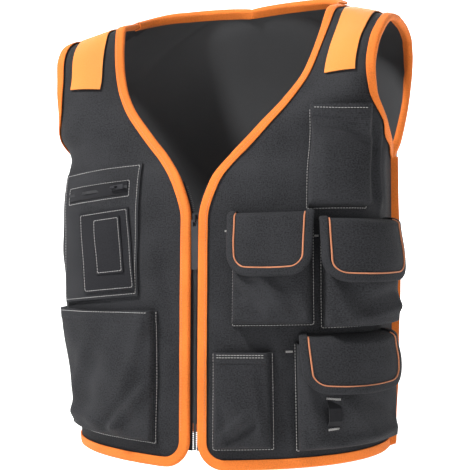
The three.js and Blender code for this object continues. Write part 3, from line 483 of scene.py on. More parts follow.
def cloth_material(name, colour, thread, contrast, sheen, roughness, mottle, rib=None, grain=0.5):
    """Woven cloth: threads over and under each other, uneven thread and a soft mottle, or ribs across."""
    m = Nodes(name)
    place = m.add("ShaderNodeUVMap", uv_map="cloth").outputs["UV"]
    split = m.add("ShaderNodeSeparateXYZ", {"Vector": place})
    u = m.math("MULTIPLY", split.outputs["X"], 1000 / thread)
    v = m.math("MULTIPLY", split.outputs["Y"], 1000 / (rib or thread))
    warp = m.math("ABSOLUTE", m.math("SINE", m.math("MULTIPLY", u, pi)))
    weft = m.math("ABSOLUTE", m.math("SINE", m.math("MULTIPLY", v, pi)))
    if rib:
        height = m.math("MULTIPLY_ADD", weft, 0.8, m.math("MULTIPLY", warp, 0.2))
    else:
        turn = m.math("MODULO", m.math("ADD", m.math("FLOOR", u), m.math("FLOOR", v)), 2.0)
        turn = m.math("ABSOLUTE", turn)
        over = m.math("MULTIPLY", warp, turn)
        height = m.math("MAXIMUM", over, m.math("MULTIPLY", weft, m.math("SUBTRACT", 1.0, turn)))
    fine, slub = m.noise(place, 420.0, 3.0, 0.65), m.noise(place, 620.0, 2.0)
    broad = m.noise(place, 16.0, 3.0)
    tone = m.math("MULTIPLY_ADD", height, 0.35, m.math("MULTIPLY", fine, 0.25))
    tone = m.math("MULTIPLY_ADD", m.math("SUBTRACT", slub, 0.5), grain, m.math("ADD", tone, 0.2))
    tone = m.math("MULTIPLY_ADD", broad, mottle, tone)
    dark, light = shaded(colour, 1 - contrast), shaded(colour, 1 + contrast)
    m.link(m.ramp(tone, [(0.2, dark), (0.5 + mottle / 2, colour), (0.85, light)]), "Base Color")
    m.link(m.math("MULTIPLY_ADD", fine, 0.16, roughness - 0.08), "Roughness")
    relief = m.math("MULTIPLY_ADD", fine, 0.6, height)
    bump = m.add("ShaderNodeBump", {"Height": relief, "Strength": 0.55, "Distance": 0.0004})
    m.link(bump.outputs["Normal"], "Normal")
    set_inputs(m.shader, {"Sheen Weight": sheen, "Sheen Roughness": 0.45, "Specular IOR Level": 0.12})
    return m.material


def solid_material(name, colour, roughness, metallic=0.0, grain=0.0006, wear=0.15):
    """Moulded plastic or dark metal with a fine grain and rubbed, paler spots."""
    m = Nodes(name)
    place = m.add("ShaderNodeTexCoord").outputs["Object"]
    fine, broad = m.noise(place, 900.0, 2.0), m.noise(place, 120.0, 4.0)
    stops = [(0.3, shaded(colour, 1 - wear)), (0.55, colour), (0.8, shaded(colour, 1 + 2 * wear))]
    m.link(m.ramp(broad, stops), "Base Color")
    m.link(m.math("MULTIPLY_ADD", broad, 0.3, roughness - 0.15), "Roughness")
    bump = m.add("ShaderNodeBump", {"Height": fine, "Strength": 0.3, "Distance": grain})
    m.link(bump.outputs["Normal"], "Normal")
    set_inputs(m.shader, {"Metallic": metallic})
    return m.material


CHARCOAL = cloth_material("charcoal_canvas", (0.0165, 0.0168, 0.0185), 1.1, 0.85, 0.02, 0.82, 0.5, grain=0.95)
CHARCOAL_DARK = cloth_material("dark_canvas", (0.013, 0.013, 0.015), 1.1, 0.7, 0.02, 0.85, 0.3, grain=0.7)
LINING = cloth_material("lining", (0.048, 0.049, 0.051), 0.7, 0.15, 0.02, 0.85, 0.1)
ORANGE = cloth_material("orange_tape", (0.60, 0.15, 0.025), 1.2, 0.32, 0.03, 0.7, 0.5, rib=0.9)
PALE = cloth_material("pale_orange_band", (0.76, 0.255, 0.052), 0.8, 0.09, 0.1, 0.5, 0.2)
WEBBING = cloth_material("black_webbing", (0.013, 0.013, 0.015), 1.6, 0.4, 0.1, 0.75, 0.1, rib=1.2)
ZIP_CLOTH = cloth_material("zip_cloth", (0.012, 0.012, 0.014), 1.0, 0.35, 0.1, 0.8, 0.1, rib=0.8)
THREAD = cloth_material("thread", (0.42, 0.41, 0.40), 0.4, 0.2, 0.1, 0.7, 0.1)
PIPING = cloth_material("piping", (0.52, 0.20, 0.10), 0.6, 0.2, 0.15, 0.7, 0.1)
TEETH = solid_material("zip_teeth", (0.02, 0.02, 0.022), 0.42)
METAL = solid_material("dark_metal", (0.045, 0.045, 0.05), 0.38, metallic=0.7)
GRIP = solid_material("pull_grip", (0.022, 0.022, 0.026), 0.5)


# Meshes

def grid(across, down):
    """The places of a grid from its two directions."""
    return np.stack(np.broadcast_arrays(across, down), -1)


def arc_lengths(points):
    """The way along a path of points to each of them."""
    return np.concatenate([[0], np.cumsum(np.linalg.norm(np.diff(points, axis=0), axis=-1))])


def flat_area(points):
    """The area of a grid of points in square metres."""
    du = points[:-1, 1:] - points[:-1, :-1]
    dv = points[1:, :-1] - points[:-1, :-1]
    return float(np.linalg.norm(np.cross(du, dv), axis=-1).sum()) * 1e-6


def new_piece(name, points, faces, places, material, node=None):
    """A smooth mesh with its cloth places in a UV map, in the place of a node where one is named."""
    metres = points * 0.001
    metres[:, 2] -= SHOULDER_HEIGHT * 0.001
    mesh = bpy.data.meshes.new(name)
    mesh.from_pydata(metres.tolist(), [], faces)
    layer = mesh.uv_layers.new(name="cloth")
    corners = np.zeros(len(mesh.loops), int)
    mesh.loops.foreach_get("vertex_index", corners)
    layer.data.foreach_set("uv", (places.reshape(-1, 2)[corners] * 0.001).ravel())
    mesh.polygons.foreach_set("use_smooth", np.ones(len(mesh.polygons), bool))
    mesh.set_sharp_from_angle(angle=radians(48))
    mesh.materials.append(material)
    mesh.update()
    piece = bpy.data.objects.new(name, mesh)
    bpy.context.scene.collection.objects.link(piece)
    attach(piece, "root")
    if node:
        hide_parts(node)
    return piece


def outward(points, faces):
    """The faces, turned where their volume is negative."""
    volume = 0.0
    for face in faces:
        for k in range(1, len(face) - 1):
            volume += np.dot(points[face[0]], np.cross(points[face[k]], points[face[k + 1]]))
    return faces if volume > 0 else [face[::-1] for face in faces]


def sheet_faces(rows, columns):
    """Quads of a closed sheet with an outer and an inner grid."""
    count = rows * columns
    faces = []
    for j in range(rows - 1):
        for i in range(columns - 1):
            a = j * columns + i
            quad = [a, a + 1, a + columns + 1, a + columns]
            faces.append(quad)
            faces.append([count + k for k in quad[::-1]])
    edge = [(0, i) for i in range(columns)] + [(j, columns - 1) for j in range(1, rows)]
    edge += [(rows - 1, i) for i in range(columns - 2, -1, -1)] + [(j, 0) for j in range(rows - 2, 0, -1)]
    loop = [j * columns + i for j, i in edge]
    for a, b in zip(loop, loop[1:] + loop[:1]):
        faces.append([a, count + a, count + b, b])
    return faces


def bar_faces(count, size):
    """Quads between rings that follow each other, and the two ends."""
    faces = []
    for low in range(0, (count - 1) * size, size):
        for i in range(size):
            k = (i + 1) % size
            faces.append([low + i, low + k, low + size + k, low + size + i])
    return faces + [list(range(size))[::-1], [(count - 1) * size + i for i in range(size)]]


def add_sheet(name, node, layers, places, material):
    """A closed sheet between an outer and an inner grid of points."""
    rows, columns = layers[0].shape[:2]
    points = np.concatenate([layer.reshape(-1, 3) for layer in layers])
    places = np.concatenate([places.reshape(-1, 2)] * 2)
    return new_piece(name, points, outward(points, sheet_faces(rows, columns)), places, material, node)


def add_bar(name, node, rings, places, material=ORANGE):
    """A bar swept through rings of points, with flat ends."""
    points = rings.reshape(-1, 3)
    return new_piece(name, points, outward(points, bar_faces(*rings.shape[:2])), places, material, node)


def surface_normals(surface, places):
    u, v = places[:, 0], places[:, 1]
    du = surface(u + 0.6, v) - surface(u - 0.6, v)
    dv = surface(u, v + 0.6) - surface(u, v - 0.6)
    return unit(np.cross(du, dv))


def spaced(places, surface, pitch):
    """Places at an even pitch along a path of places on a surface."""
    places = np.asarray(places, float)
    fine = np.concatenate([np.linspace(a, b, 25)[:-1] for a, b in zip(places, places[1:])] + [places[-1:]])
    arc = arc_lengths(surface(*fine.T))
    marks = np.linspace(0, arc[-1], max(int(round(arc[-1] / pitch)), 1) + 1)
    return np.stack([np.interp(marks, arc, fine[:, k]) for k in range(2)], -1)


class Seams:
    """Gathers stitches and makes one mesh of them."""

    def __init__(self):
        self.points, self.faces = [], []

    def sew(self, path, surface, flip=1):
        """Adds the stitches of a seam along a path of places on a surface."""
        marks = spaced(path, surface, STITCH["pitch"])
        middles = (marks[:-1] + marks[1:]) / 2
        along = unit(surface(*marks[1:].T) - surface(*marks[:-1].T))
        normal = surface_normals(surface, middles) * flip
        beside = np.cross(along, normal)
        centre = surface(*middles.T)
        sides, rows = STITCH["sides"], []
        for step, share in STITCH_RINGS:
            for k in range(sides):
                angle, radius = 2 * pi * k / sides, STITCH["half"] * share
                a, b = step * STITCH["length"] / 2, radius * cos(angle)
                c = radius * sin(angle) + STITCH["proud"]
                rows.append(centre + along * a + beside * b + normal * c)
        faces = bar_faces(len(STITCH_RINGS), sides)
        for block in np.stack(rows, 1):
            start = len(self.points) * len(rows)
            self.points.append(block)
            self.faces += [[start + k for k in face] for face in faces]

    def make(self, name, material):
        points = np.concatenate(self.points)
        new_piece(name, points, self.faces, points[:, ::2], material)


SEAMS = Seams()
EDGE_SEAMS = Seams()


def add_hung(name, node, layers, places, material=CHARCOAL):
    """A closed sheet in the place of a node."""
    piece = add_sheet(name, node, layers, places, material)


# Panels

PANEL_ROWS = np.linspace(0, LAST_HEIGHT, 201)


def corner_height(across):
    past = np.clip(CORNER_RADIUS - across, 0, CORNER_RADIUS)
    return CORNER_RADIUS - np.sqrt(CORNER_RADIUS ** 2 - past ** 2)


def add_front_panels():
    heights = PANEL_ROWS[:, None]
    across = np.linspace(0, 1, 111)[None, :] * FRONT.width(heights)
    corner_top = 0.08 * SHOULDER_HEIGHT
    corner = corner_height(across)
    low = corner + (corner_top - corner) * heights / corner_top
    height = np.where(heights < corner_top, low, heights)
    places = grid(across + FRONT.start(height), height)
    for front in FRONTS:
        layers = [front.across(across, height, lift) for lift in (0, -CLOTH)]
        add_hung(f"front_cloth_{front.name}", f"front_panel_{front.name}", layers, places)


def weld(piece):
    """Joins the piece's points that are in one place."""
    bpy.context.view_layer.objects.active = piece
    bpy.ops.object.select_all(action="DESELECT")
    piece.select_set(True)
    bpy.ops.object.mode_set(mode="EDIT")
    bpy.ops.mesh.select_all(action="SELECT")
    bpy.ops.mesh.remove_doubles(threshold=1e-6)
    bpy.ops.object.mode_set(mode="OBJECT")


def add_back_panel():
    """Two mirrored halves, open and welded along the middle below the neck."""
    heights = PANEL_ROWS[:, None]
    across = np.linspace(0, 1, 91)[None, :] * BACK.width(heights)
    rows, columns = across.shape
    count = rows * columns
    neck_row = int(np.searchsorted(PANEL_ROWS, NECK_RUN * SHOULDER_HEIGHT))
    middle = {frozenset((a, a + columns)) for a in range(0, neck_row * columns, columns)}
    kept = [q for q in sheet_faces(rows, columns) if frozenset(k for k in q if k < count) not in middle]
    points, faces, places = [], [], []
    for half, side in enumerate((1, -1)):
        for lift in (CLOTH / 2, -CLOTH / 2):
            layer = back_point(side, across, heights, lift)
            layer[:neck_row + 1, 0, 0] = 0
            points.append(layer.reshape(-1, 3))
            places.append(grid(side * across, heights).reshape(-1, 2))
        turned = outward(np.concatenate(points[-2:]), kept)
        faces += [[2 * count * half + k for k in q] for q in turned]
    piece = new_piece("back_cloth", np.concatenate(points), faces, np.concatenate(places), CHARCOAL,
                      "back_panel")
    weld(piece)
    piece.data.materials.append(LINING)
    for face in piece.data.polygons:
        face.material_index = int(face.normal.y < 0 and face.center.y > 0.01)
    area = 2 * flat_area(back_point(1, across, heights))


# Tapes round the edges

def smoothed(rows, span):
    """Each row averaged with its neighbours along the path."""
    padded = np.concatenate([np.repeat(rows[:1], span // 2, 0), rows, np.repeat(rows[-1:], span // 2, 0)])
    return unit(sum(padded[k:k + len(rows)] for k in range(span)))


def tape_rings(surface, normal_of, path, turn, ease, width=BINDING_SHOWN, cloth=CLOTH, straight=False):
    """Rings of a folded tape along a path of places on a surface, and each ring's places."""
    path = np.asarray(path, float)
    p = surface(*path.T)
    n = normal_of(path)
    if straight:
        n = smoothed(n, 9)
    inward = unit(np.cross(unit(np.gradient(p, axis=0)), n)) * turn
    near, far = cloth / 2 + ease, cloth / 2 + ease + TAPE
    rails = []
    place = path.copy()
    steps = 6
    for k in range(steps + 1):
        if straight:
            rails.append((p + inward * width * k / steps, n))
            continue
        spot = surface(*place.T)
        normal = normal_of(place)
        rails.append((spot, normal))
        du = surface(place[:, 0] + 1, place[:, 1]) - spot
        dv = surface(place[:, 0], place[:, 1] + 1) - spot
        level = inward - normal * np.sum(inward * normal, -1, keepdims=True)
        a, b, uu, vv, uv = (np.sum(x * y, -1) for x, y in (
            (level, du), (level, dv), (du, du), (dv, dv), (du, dv)))
        scale = width / steps / (uu * vv - uv * uv)
        place = place + np.stack([(a * vv - b * uv) * scale, (b * uu - a * uv) * scale], -1)
    ring, spots = [], []

    def leg(side, order, off, crown, past):
        for k in order:
            spot, normal = rails[k]
            ring.append(spot + side * normal * (off + (crown if 0 < k < steps else 0.0)))
            spots.append(side * (width * k / steps + past))

    leg(1, range(steps, -1, -1), far, 0.35, 2)
    for degrees in (60, 90, 120):
        angle = radians(degrees)
        ring.append(rails[0][0] - inward * (ease / 2 + TAPE) * sin(angle) + n * far * cos(angle))
        spots.append(0.0)
    leg(-1, range(steps + 1), far, 0.35, 2)
    leg(-1, range(steps, -1, -2), near, 0.0, 0)
    leg(1, range(0, steps + 1, 2), near, 0.0, 0)
    return np.stack(ring, 1), grid(np.array(spots), arc_lengths(p)[:, None])


def cloth_normals(cloth, side):
    return lambda places: mirrored(cloth.look(*places.T)[1], side)


def front_edge_path():
    """From the side seam along the hem, round the corner and up the front edge."""
    first = CORNER_RADIUS + 3
    hem = [[a, 0.0] for a in np.linspace(FRONT.width(0.0), first, 60)]
    angles = pi / 2 * (1 - np.arange(25) / 24)
    corner = [[CORNER_RADIUS * (1 - cos(a)), CORNER_RADIUS * (1 - sin(a))] for a in angles]
    return hem + corner + [[0.0, h] for h in np.linspace(first, LAST_HEIGHT, 170)]


def add_front_bindings():
    for front in FRONTS:
        rings, places = tape_rings(front.middle, cloth_normals(FRONT, front.side), front_edge_path(),
                                   front.side, EASE["front"])
        add_bar(f"front_tape_{front.name}", f"front_binding_{front.name}", rings, places)


def add_armhole_bindings():
    """Up each front's armhole edge and down the back's."""
    for front in FRONTS:
        side = front.side
        back = lambda across, height, side=side: back_point(side, across, height)
        rows = np.linspace(UNDERARM_HEIGHT, LAST_HEIGHT, 80)
        rings, places = tape_rings(front.middle, cloth_normals(FRONT, side), grid(FRONT.width(rows), rows),
                                   -side, EASE["armhole"], ARMHOLE_SHOWN)
        rows = np.linspace(LAST_HEIGHT, UNDERARM_HEIGHT, 80)[1:]
        back_rings, back_places = tape_rings(back, cloth_normals(BACK, side), grid(BACK.width(rows), rows),
                                             -side, EASE["armhole"], ARMHOLE_SHOWN)
        back_places[..., 1] += places[-1, 0, 1]
        add_bar(f"armhole_tape_{front.name}", f"armhole_binding_{front.name}",
                np.concatenate([rings, back_rings]), np.concatenate([places, back_places]))


def add_back_bindings():
    """The neck's and the hem's tapes, each mirrored at the middle."""
    neck = [[0.0, h] for h in np.linspace(LAST_HEIGHT, NECK_RUN * SHOULDER_HEIGHT + 1, 60)]
    hem = [[a, 0.0] for a in np.linspace(BACK.width(0.0), 0, 60)]
    for name, path, turn in (("neck", neck, 1), ("hem", hem, -1)):
        rings, places = tape_rings(lambda across, height: back_point(1, across, height),
                                   cloth_normals(BACK, 1), path, turn, EASE[name], straight=name == "neck")
        rings[-1, :, 0] = 0
        more = places[:-1][::-1].copy()
        more[..., 1] = 2 * places[-1, 0, 1] - more[..., 1]
        add_bar(f"{name}_tape", f"{name}_binding", np.concatenate([rings, mirrored(rings[:-1][::-1], -1)]),
                np.concatenate([places, more]))


def add_side_bands():
    heights = np.linspace(2, UNDERARM_HEIGHT, 120)
    seam, _ = FRONT.look(FRONT.width(heights) + SIDE_SEAM / 2 + GAP, heights)
    inner = seam[:, 0] - CLOTH / 2 - EASE["hem"] - TAPE
    bulge = sum(rise * np.exp(-((heights - at) / half) ** 2) for rise, at, half in FIN_BULGES)
    outer = seam[:, 0] + SIDE_BAND["width"] + bulge
    sway = sum(size * np.sin(heights / length) for size, length in FIN_SWAYS)
    half, bevel = SIDE_BAND["half"], SIDE_BAND["round"]
    shape = [(0, -half), (0.5, -half), (1, -half + bevel), (1, half - bevel), (0.5, half), (0, half)]
    places = grid(np.array([share * 12 for share, _ in shape]), heights[:, None])
    ring = []
    for share, y in shape:
        x = inner + (outer - inner) * share - (bevel if share == 0.5 else 0)
        ring.append(np.stack([x, y + sway * share, seam[:, 2]], -1))
    for front in FRONTS:
        rings = mirrored(np.stack(ring, 1), front.side)
        add_bar(f"side_fin_{front.name}", f"side_band_{front.name}", rings, places)


def add_shoulder_bands():
    margin = STRIP["margin"]
    width = FRONT.width(LAST_HEIGHT) - 2 * margin
    shares = np.linspace(1, 0, 17)[None, :]
    crown = STRIP["crown"] * np.sin(np.pi * shares)
    fronts = np.linspace(LAST_HEIGHT - STRIP["drop"], LAST_HEIGHT, 40)[:, None]
    backs = np.linspace(LAST_HEIGHT, STRIP["back_run"] * SHOULDER_HEIGHT, 34)[1:, None]
    run = np.concatenate([fronts, 2 * LAST_HEIGHT - backs])
    for front in FRONTS:
        layers = []
        for lift in (EASE["shoulder"] + TAPE, EASE["shoulder"]):
            before = front.across(FRONT.width(fronts) - margin - shares * width, fronts, lift + crown)
            behind = back_point(front.side, BACK.width(backs) - margin - shares * width, backs,
                                CLOTH / 2 + lift + crown)
            layers.append(np.concatenate([before, behind]))
        add_hung(f"shoulder_strip_{front.name}", f"shoulder_band_{front.name}", layers,
                 grid(shares * width, run), PALE)


# Pockets

def ramp_up(distance, width):
    """Rises like the quarter of an ellipse from a seam to a rounded edge."""
    share = np.clip(distance / width, 0, 1)
    return np.sqrt(np.maximum(1 - (1 - share) ** 2.2, 0))


def edge_marks(start, end, wall, open_end=False):
    """Marks that are close together at the walls and even between them."""
    close = np.array([0.0, 0.15, 0.5, 1.0, 1.8, 3.0, 4.6, 6.6])
    close = close[close < wall] if wall < 6 else close
    low = np.concatenate([[start - POCKET_GRID["margin"]], start + close])
    high = [end] if open_end else np.concatenate([end - close[::-1], [end + POCKET_GRID["margin"]]])
    count = max(int((high[0] - low[-1]) / POCKET_GRID["step"]), 2)
    return np.concatenate([low, np.linspace(low[-1], high[0], count + 1)[1:-1], high])


class Pocket:
    """A box pocket's outer and inner faces as heights over the cloth."""

    def __init__(self, front, size, seed, folds, wall=7.0, puff=4.0, hem=0, sag=0.0, rough=0.5, rows=(3.0,)):
        self.front, self.size, self.seed, self.folds, self.wall = front, size, seed, folds, wall
        self.puff, self.hem, self.sag, self.rough, self.rows = puff, hem, sag, rough, rows
        self.to = size["from"] + size["width"]
        self.top = size["foot"] + size["height"]

    def lift(self, x, z, inset=0.0):
        size = self.size
        side = np.minimum(x - size["from"], self.to - x) - inset
        low = z - size["foot"] - inset
        u = np.clip((x - size["from"]) / size["width"], 0, 1)
        v = np.clip((z - size["foot"]) / size["height"], 0, 1)
        deep = size["depth"] + (size["mouth"] - size["depth"]) * v
        body = np.minimum(ramp_up(side, self.wall), ramp_up(low, self.wall))
        calm = soft_step(np.minimum(side, low) / CALM["pocket"])
        bulge = self.puff * np.sin(np.pi * u) * np.sin(np.pi * np.clip(v * 0.8 + 0.12, 0, 1))
        detail = fold_lift(self.folds, x, z) + ripple(x, z, self.seed, self.rough, POCKET_WAVE)
        return EASE["pocket"] + (deep - inset) * body + calm * (bulge + detail)

    def outer(self, x, z, extra=0.0):
        hem = 0.7 * soft_step((z - self.top + self.hem) / 0.8) if self.hem else 0.0
        return self.front(x, z, POCKET_CLOTH * 0.5 + self.lift(x, z) + hem + extra)

    def inner(self, x, z):
        return self.front(x, z, self.lift(x, z, POCKET_CLOTH))

    def add(self, name, node):
        size, top, foot = self.size, self.top, self.size["foot"]
        xs = edge_marks(size["from"], self.to, self.wall)[None, :]
        zs = edge_marks(foot, top, self.wall, open_end=True)
        if self.hem:
            zs = np.sort(np.concatenate([zs, top - self.hem + np.array([0.0, 0.4, 0.8])]))
        zs = zs[:, None]
        dip = self.sag * np.sin(np.pi * np.clip((xs - size["from"]) / size["width"], 0, 1)) ** 2
        zs = zs - dip * np.clip((zs - foot) / size["height"], 0, 1) ** 3
        add_hung(name, node, [self.outer(xs, zs), self.inner(xs, zs)], grid(xs, zs))
        left, right = size["from"] - POCKET_SEAM["side"], self.to + POCKET_SEAM["side"]
        low, high = foot - POCKET_SEAM["foot"], top - POCKET_SEAM["top"]
        SEAMS.sew([[left, high], [left, low], [right, low], [right, high]], self.outer, self.front.side)
        if self.hem:
            inset = self.wall + 1
            for drop in self.rows:
                row = [[size["from"] + inset, top - drop], [self.to - inset, top - drop]]
                SEAMS.sew(row, self.outer, self.front.side)


CHEST = Pocket(LEFT, CHEST_POCKET, 11, [[150, 380, 156, 320, 8, 1.2]], wall=6, puff=2.5, hem=11.0)
INNER = Pocket(LEFT, INNER_FLAP_POCKET, 12, [
    [56, 206, 84, 178, 8, -5.0], [84, 222, 112, 190, 7, 5.0], [108, 206, 124, 178, 8, -4.0],
    [64, 190, 100, 176, 6, 3.5], [58, 224, 70, 196, 5, 2.5]], rough=0.8)
OUTER = Pocket(LEFT, OUTER_FLAP_POCKET, 13, [
    [160, 214, 176, 176, 7, 4.5], [174, 214, 196, 180, 9, -5.0], [196, 176, 236, 184, 6, 4.0],
    [206, 196, 236, 202, 7, -3.0], [222, 212, 234, 186, 7, 3.0]], rough=0.9)
LOWER = Pocket(LEFT, LOWER_FLAP_POCKET, 14, [
    [132, 88, 142, 34, 7, 4.0], [146, 82, 166, 34, 9, -4.5], [168, 76, 196, 40, 9, 4.5],
    [196, 78, 232, 56, 10, -4.0], [176, 32, 236, 36, 6, 3.0]], rough=0.9)
PLIER = Pocket(LEFT, PLIER_POCKET, 15, [
    [40, 40, 62, 58, 5, 4.5], [46, 32, 70, 50, 5, -3.5], [38, 66, 44, 40, 5, -2.5],
    [74, 100, 84, 40, 6, 2.5]], wall=5, puff=3, hem=13, rows=(2.6, 5.4))
MAP = Pocket(RIGHT, MAP_POCKET, 16, [
    [66, 150, 92, 60, 10, 3.6], [60, 84, 96, 42, 8, 4.5], [84, 76, 110, 40, 8, -4.0],
    [120, 150, 150, 60, 14, -3.4], [100, 42, 180, 48, 8, 3.5], [150, 120, 176, 60, 10, 3.0]],
    wall=6, puff=3.5, hem=14, sag=2.0, rough=1.0)


def add_box_pockets():
    for name, kind, pocket in (("chest", "pocket", CHEST), ("inner", "flap_pocket", INNER),
                               ("outer", "flap_pocket", OUTER), ("lower", "flap_pocket", LOWER),
                               ("plier", "pocket", PLIER), ("map", "pocket", MAP)):
        pocket.add(f"{name}_pouch", f"{name}_{kind}")


# Flaps

class Flap:
    """A flap over a pocket: across is measured from its middle, and down from its seam along the cloth."""

    def __init__(self, pocket, shape, seed):
        size = pocket.size
        self.front, self.seed = pocket.front, seed
        self.middle = size["from"] + size["width"] / 2
        self.half = size["width"] / 2 + shape["overhang"]
        self.seam = pocket.top + FLAP["roof"]
        low = self.seam - shape["drop"]
        fold = self.seam - FLAP["roof"] / 2

        def deep(z):
            share = (z - size["foot"]) / size["height"]
            stand = FLAP["stand"] + POCKET_CLOTH
            return EASE["pocket"] + size["depth"] + (size["mouth"] - size["depth"]) * share + stand

        rows = np.array([
            (self.seam, EASE["pocket"]), (self.seam + 0.2, deep(fold) * 0.35),
            (self.seam - 0.8, deep(fold) * 0.72), (fold, deep(fold) + 0.4), (fold - 6, deep(fold) + 1.6),
            ((fold + low) / 2, deep((fold + low) / 2) + pocket.puff + 1.2),
            (low, deep(low) + FLAP["flare"] + pocket.puff * 0.8)])
        steps = arc_lengths(rows)
        self.length = steps[-1]
        self.height_at = SmoothColumn(steps, rows[:, 0])
        self.lift_at = SmoothColumn(steps, rows[:, 1])

    def surface(self, across, down, extra=0.0):
        share = across / self.half
        depth = np.clip(down / self.length, 0, 1)
        held = np.clip(down, 0, self.length + 2)
        bow = 1 - share ** 2
        shape = FLAP["crown"] * bow - FLAP["curl"] * np.abs(share) ** 5
        wave = ripple(across, down, self.seed, *WAVES["flap"])
        height = self.height_at(held) + held - down - FLAP["sag"] * bow * soft_step(depth * 2)
        round_ = self.middle + across * (1 - FLAP["taper"] / self.half * depth)
        return self.front(round_, height, self.lift_at(held) + soft_step(depth * 3) * (shape + wave) + extra)

    def normals(self, places):
        return surface_normals(self.surface, places) * -self.front.side

    def edge_path(self, inset, first, turns):
        """Down one side, along the free edge and up the other side, at an inset from the edge."""
        r = FLAP["corner"] - inset
        half, low = self.half - inset, self.length - inset
        side = [[half, d] for d in np.linspace(first, low - r, 30)]
        for a in pi / 2 * np.arange(1, turns) / turns:
            side.append([half - r * (1 - cos(a)), low - r + r * sin(a)])
        bottom = [[x, low] for x in np.linspace(r - half, half - r, 24)]
        return np.array([[-x, z] for x, z in side] + bottom + side[::-1])

    def add(self, name):
        corner = FLAP["corner"]
        turn = self.length - corner * (1 - np.sin(np.linspace(0, np.pi / 2, 13)[1:]))
        downs = np.concatenate([np.linspace(0, self.length - corner, 40), turn])
        downs[-1] = self.length
        downs = downs[:, None]
        past = np.clip(downs - (self.length - corner), 0, corner)
        inset = corner - np.sqrt(np.maximum(corner ** 2 - past ** 2, 0))
        across = np.linspace(-1, 1, 41)[None, :] * (self.half - inset)
        layers = [self.surface(across, downs, lift) for lift in (POCKET_CLOTH / 2, -POCKET_CLOTH / 2)]
        add_hung(f"{name}_cover", f"{name}_flap", layers, grid(across, downs))
        rings, places = tape_rings(self.surface, self.normals, self.edge_path(0, 0, 14), -self.front.side,
                                   FLAP_EDGE["ease"], FLAP_EDGE["width"], POCKET_CLOTH)
        add_bar(f"{name}_cover_edge", None, rings, places, CHARCOAL)
        self.add_piping(name)

    def add_piping(self, name):
        path = self.edge_path(PIPE["inset"], PIPE["fold"], 10)
        p = self.surface(*path.T, POCKET_CLOTH / 2 + PIPE["proud"])
        n = self.normals(path)
        beside = np.cross(unit(np.gradient(p, axis=0)), n)
        sides, radius, ring = PIPE["sides"], PIPE["radius"], []
        for k in range(sides):
            angle = 2 * pi * k / sides
            ring.append(p + beside * radius * cos(angle) + n * radius * sin(angle))
        places = grid(np.arange(sides), arc_lengths(p)[:, None])
        add_bar(f"{name}_cover_piping", None, np.stack(ring, 1), places, PIPING)


def bar_tack(start, top, length, surface):
    """A bar of short upright stitches side by side."""
    for x in np.arange(start, start + length, BAR_TACK["pitch"]):
        SEAMS.sew([[x, top - BAR_TACK["high"]], [x, top]], surface)


def add_flaps():
    for pocket, shape, seed, name in ((INNER, UPPER_FLAP, 21, "inner"), (OUTER, UPPER_FLAP, 22, "outer"),
                                      (LOWER, LOWER_FLAP, 23, "lower")):
        flap = Flap(pocket, shape, seed)
        flap.add(name)
        start = min(flap.middle - flap.half, pocket.size["from"] - BAR_TACK["clear"]) - BAR_TACK["length"]
        bar_tack(start, flap.seam - BAR_TACK["below"], BAR_TACK["length"], pocket.front)
    loop = LOWER_FLAP_POCKET["from"] + TOOL_LOOP["inset"]
    foot = LOWER_FLAP_POCKET["foot"] + TOOL_LOOP["rise"]
    for height in (foot + BAR_TACK["high"], foot + TOOL_LOOP["height"]):
        bar_tack(loop, height, TOOL_LOOP["width"], lambda x, z: LOWER.outer(x, z, TOOL_LOOP["stand"]))


# Flat pockets on the wearer's right

class Patch:
    """A flat sheet sewn on a front or on another sheet."""

    SEED = 31

    def __init__(self, size, lift, puff=0.0):
        self.size, self.lift, self.puff = size, lift, puff

    def surface(self, u, v, extra=0.0):
        size = self.size
        x = size["from"] + u + size["lean"] * v
        z = size["foot"] + v - size["fall"] * u
        share = (np.sin(np.pi * np.clip(u / size["width"], 0, 1))
                 * np.sin(np.pi * np.clip(v / size["height"], 0, 1)))
        wave = ripple(x, z, self.SEED, *WAVES["patch"])
        return RIGHT(x, z, self.lift + POCKET_CLOTH + share * (self.puff + wave) + extra)

    def add(self, name, node, material=CHARCOAL, thickness=POCKET_CLOTH, slot="charcoal_cloth"):
        width, height = self.size["width"], self.size["height"]
        us = np.linspace(0, width, max(int(width / 2.4), 8))[None, :]
        vs = np.linspace(0, height, max(int(height / 2.4), 6))[:, None]
        layers = [self.surface(us, vs, lift) for lift in (0, -thickness)]
        add_hung(name, node, layers, grid(us, vs), material)

    def frame(self, step, closed=True):
        """A seam round the sheet, open at the top or closed."""
        right, top = self.size["width"] - step, self.size["height"] - step
        path = [[step, top], [step, step], [right, step], [right, top]]
        SEAMS.sew(path + [[step, top]] if closed else path, self.surface, -1)


ON_PATCH = EASE["patch"] + POCKET_CLOTH + SEWN_GAP
PATCH = Patch(PATCH_POCKET, EASE["patch"])
SLEEVE = Patch(TOOL_SLEEVE, ON_PATCH, 1.2)
CARD = Patch(CARD_POCKET, ON_PATCH + POCKET_CLOTH + SEWN_GAP, 1.6)
ZIP_STRIP = Patch(SMALL_ZIP, ON_PATCH - POCKET_CLOTH + ZIP_TAPE)


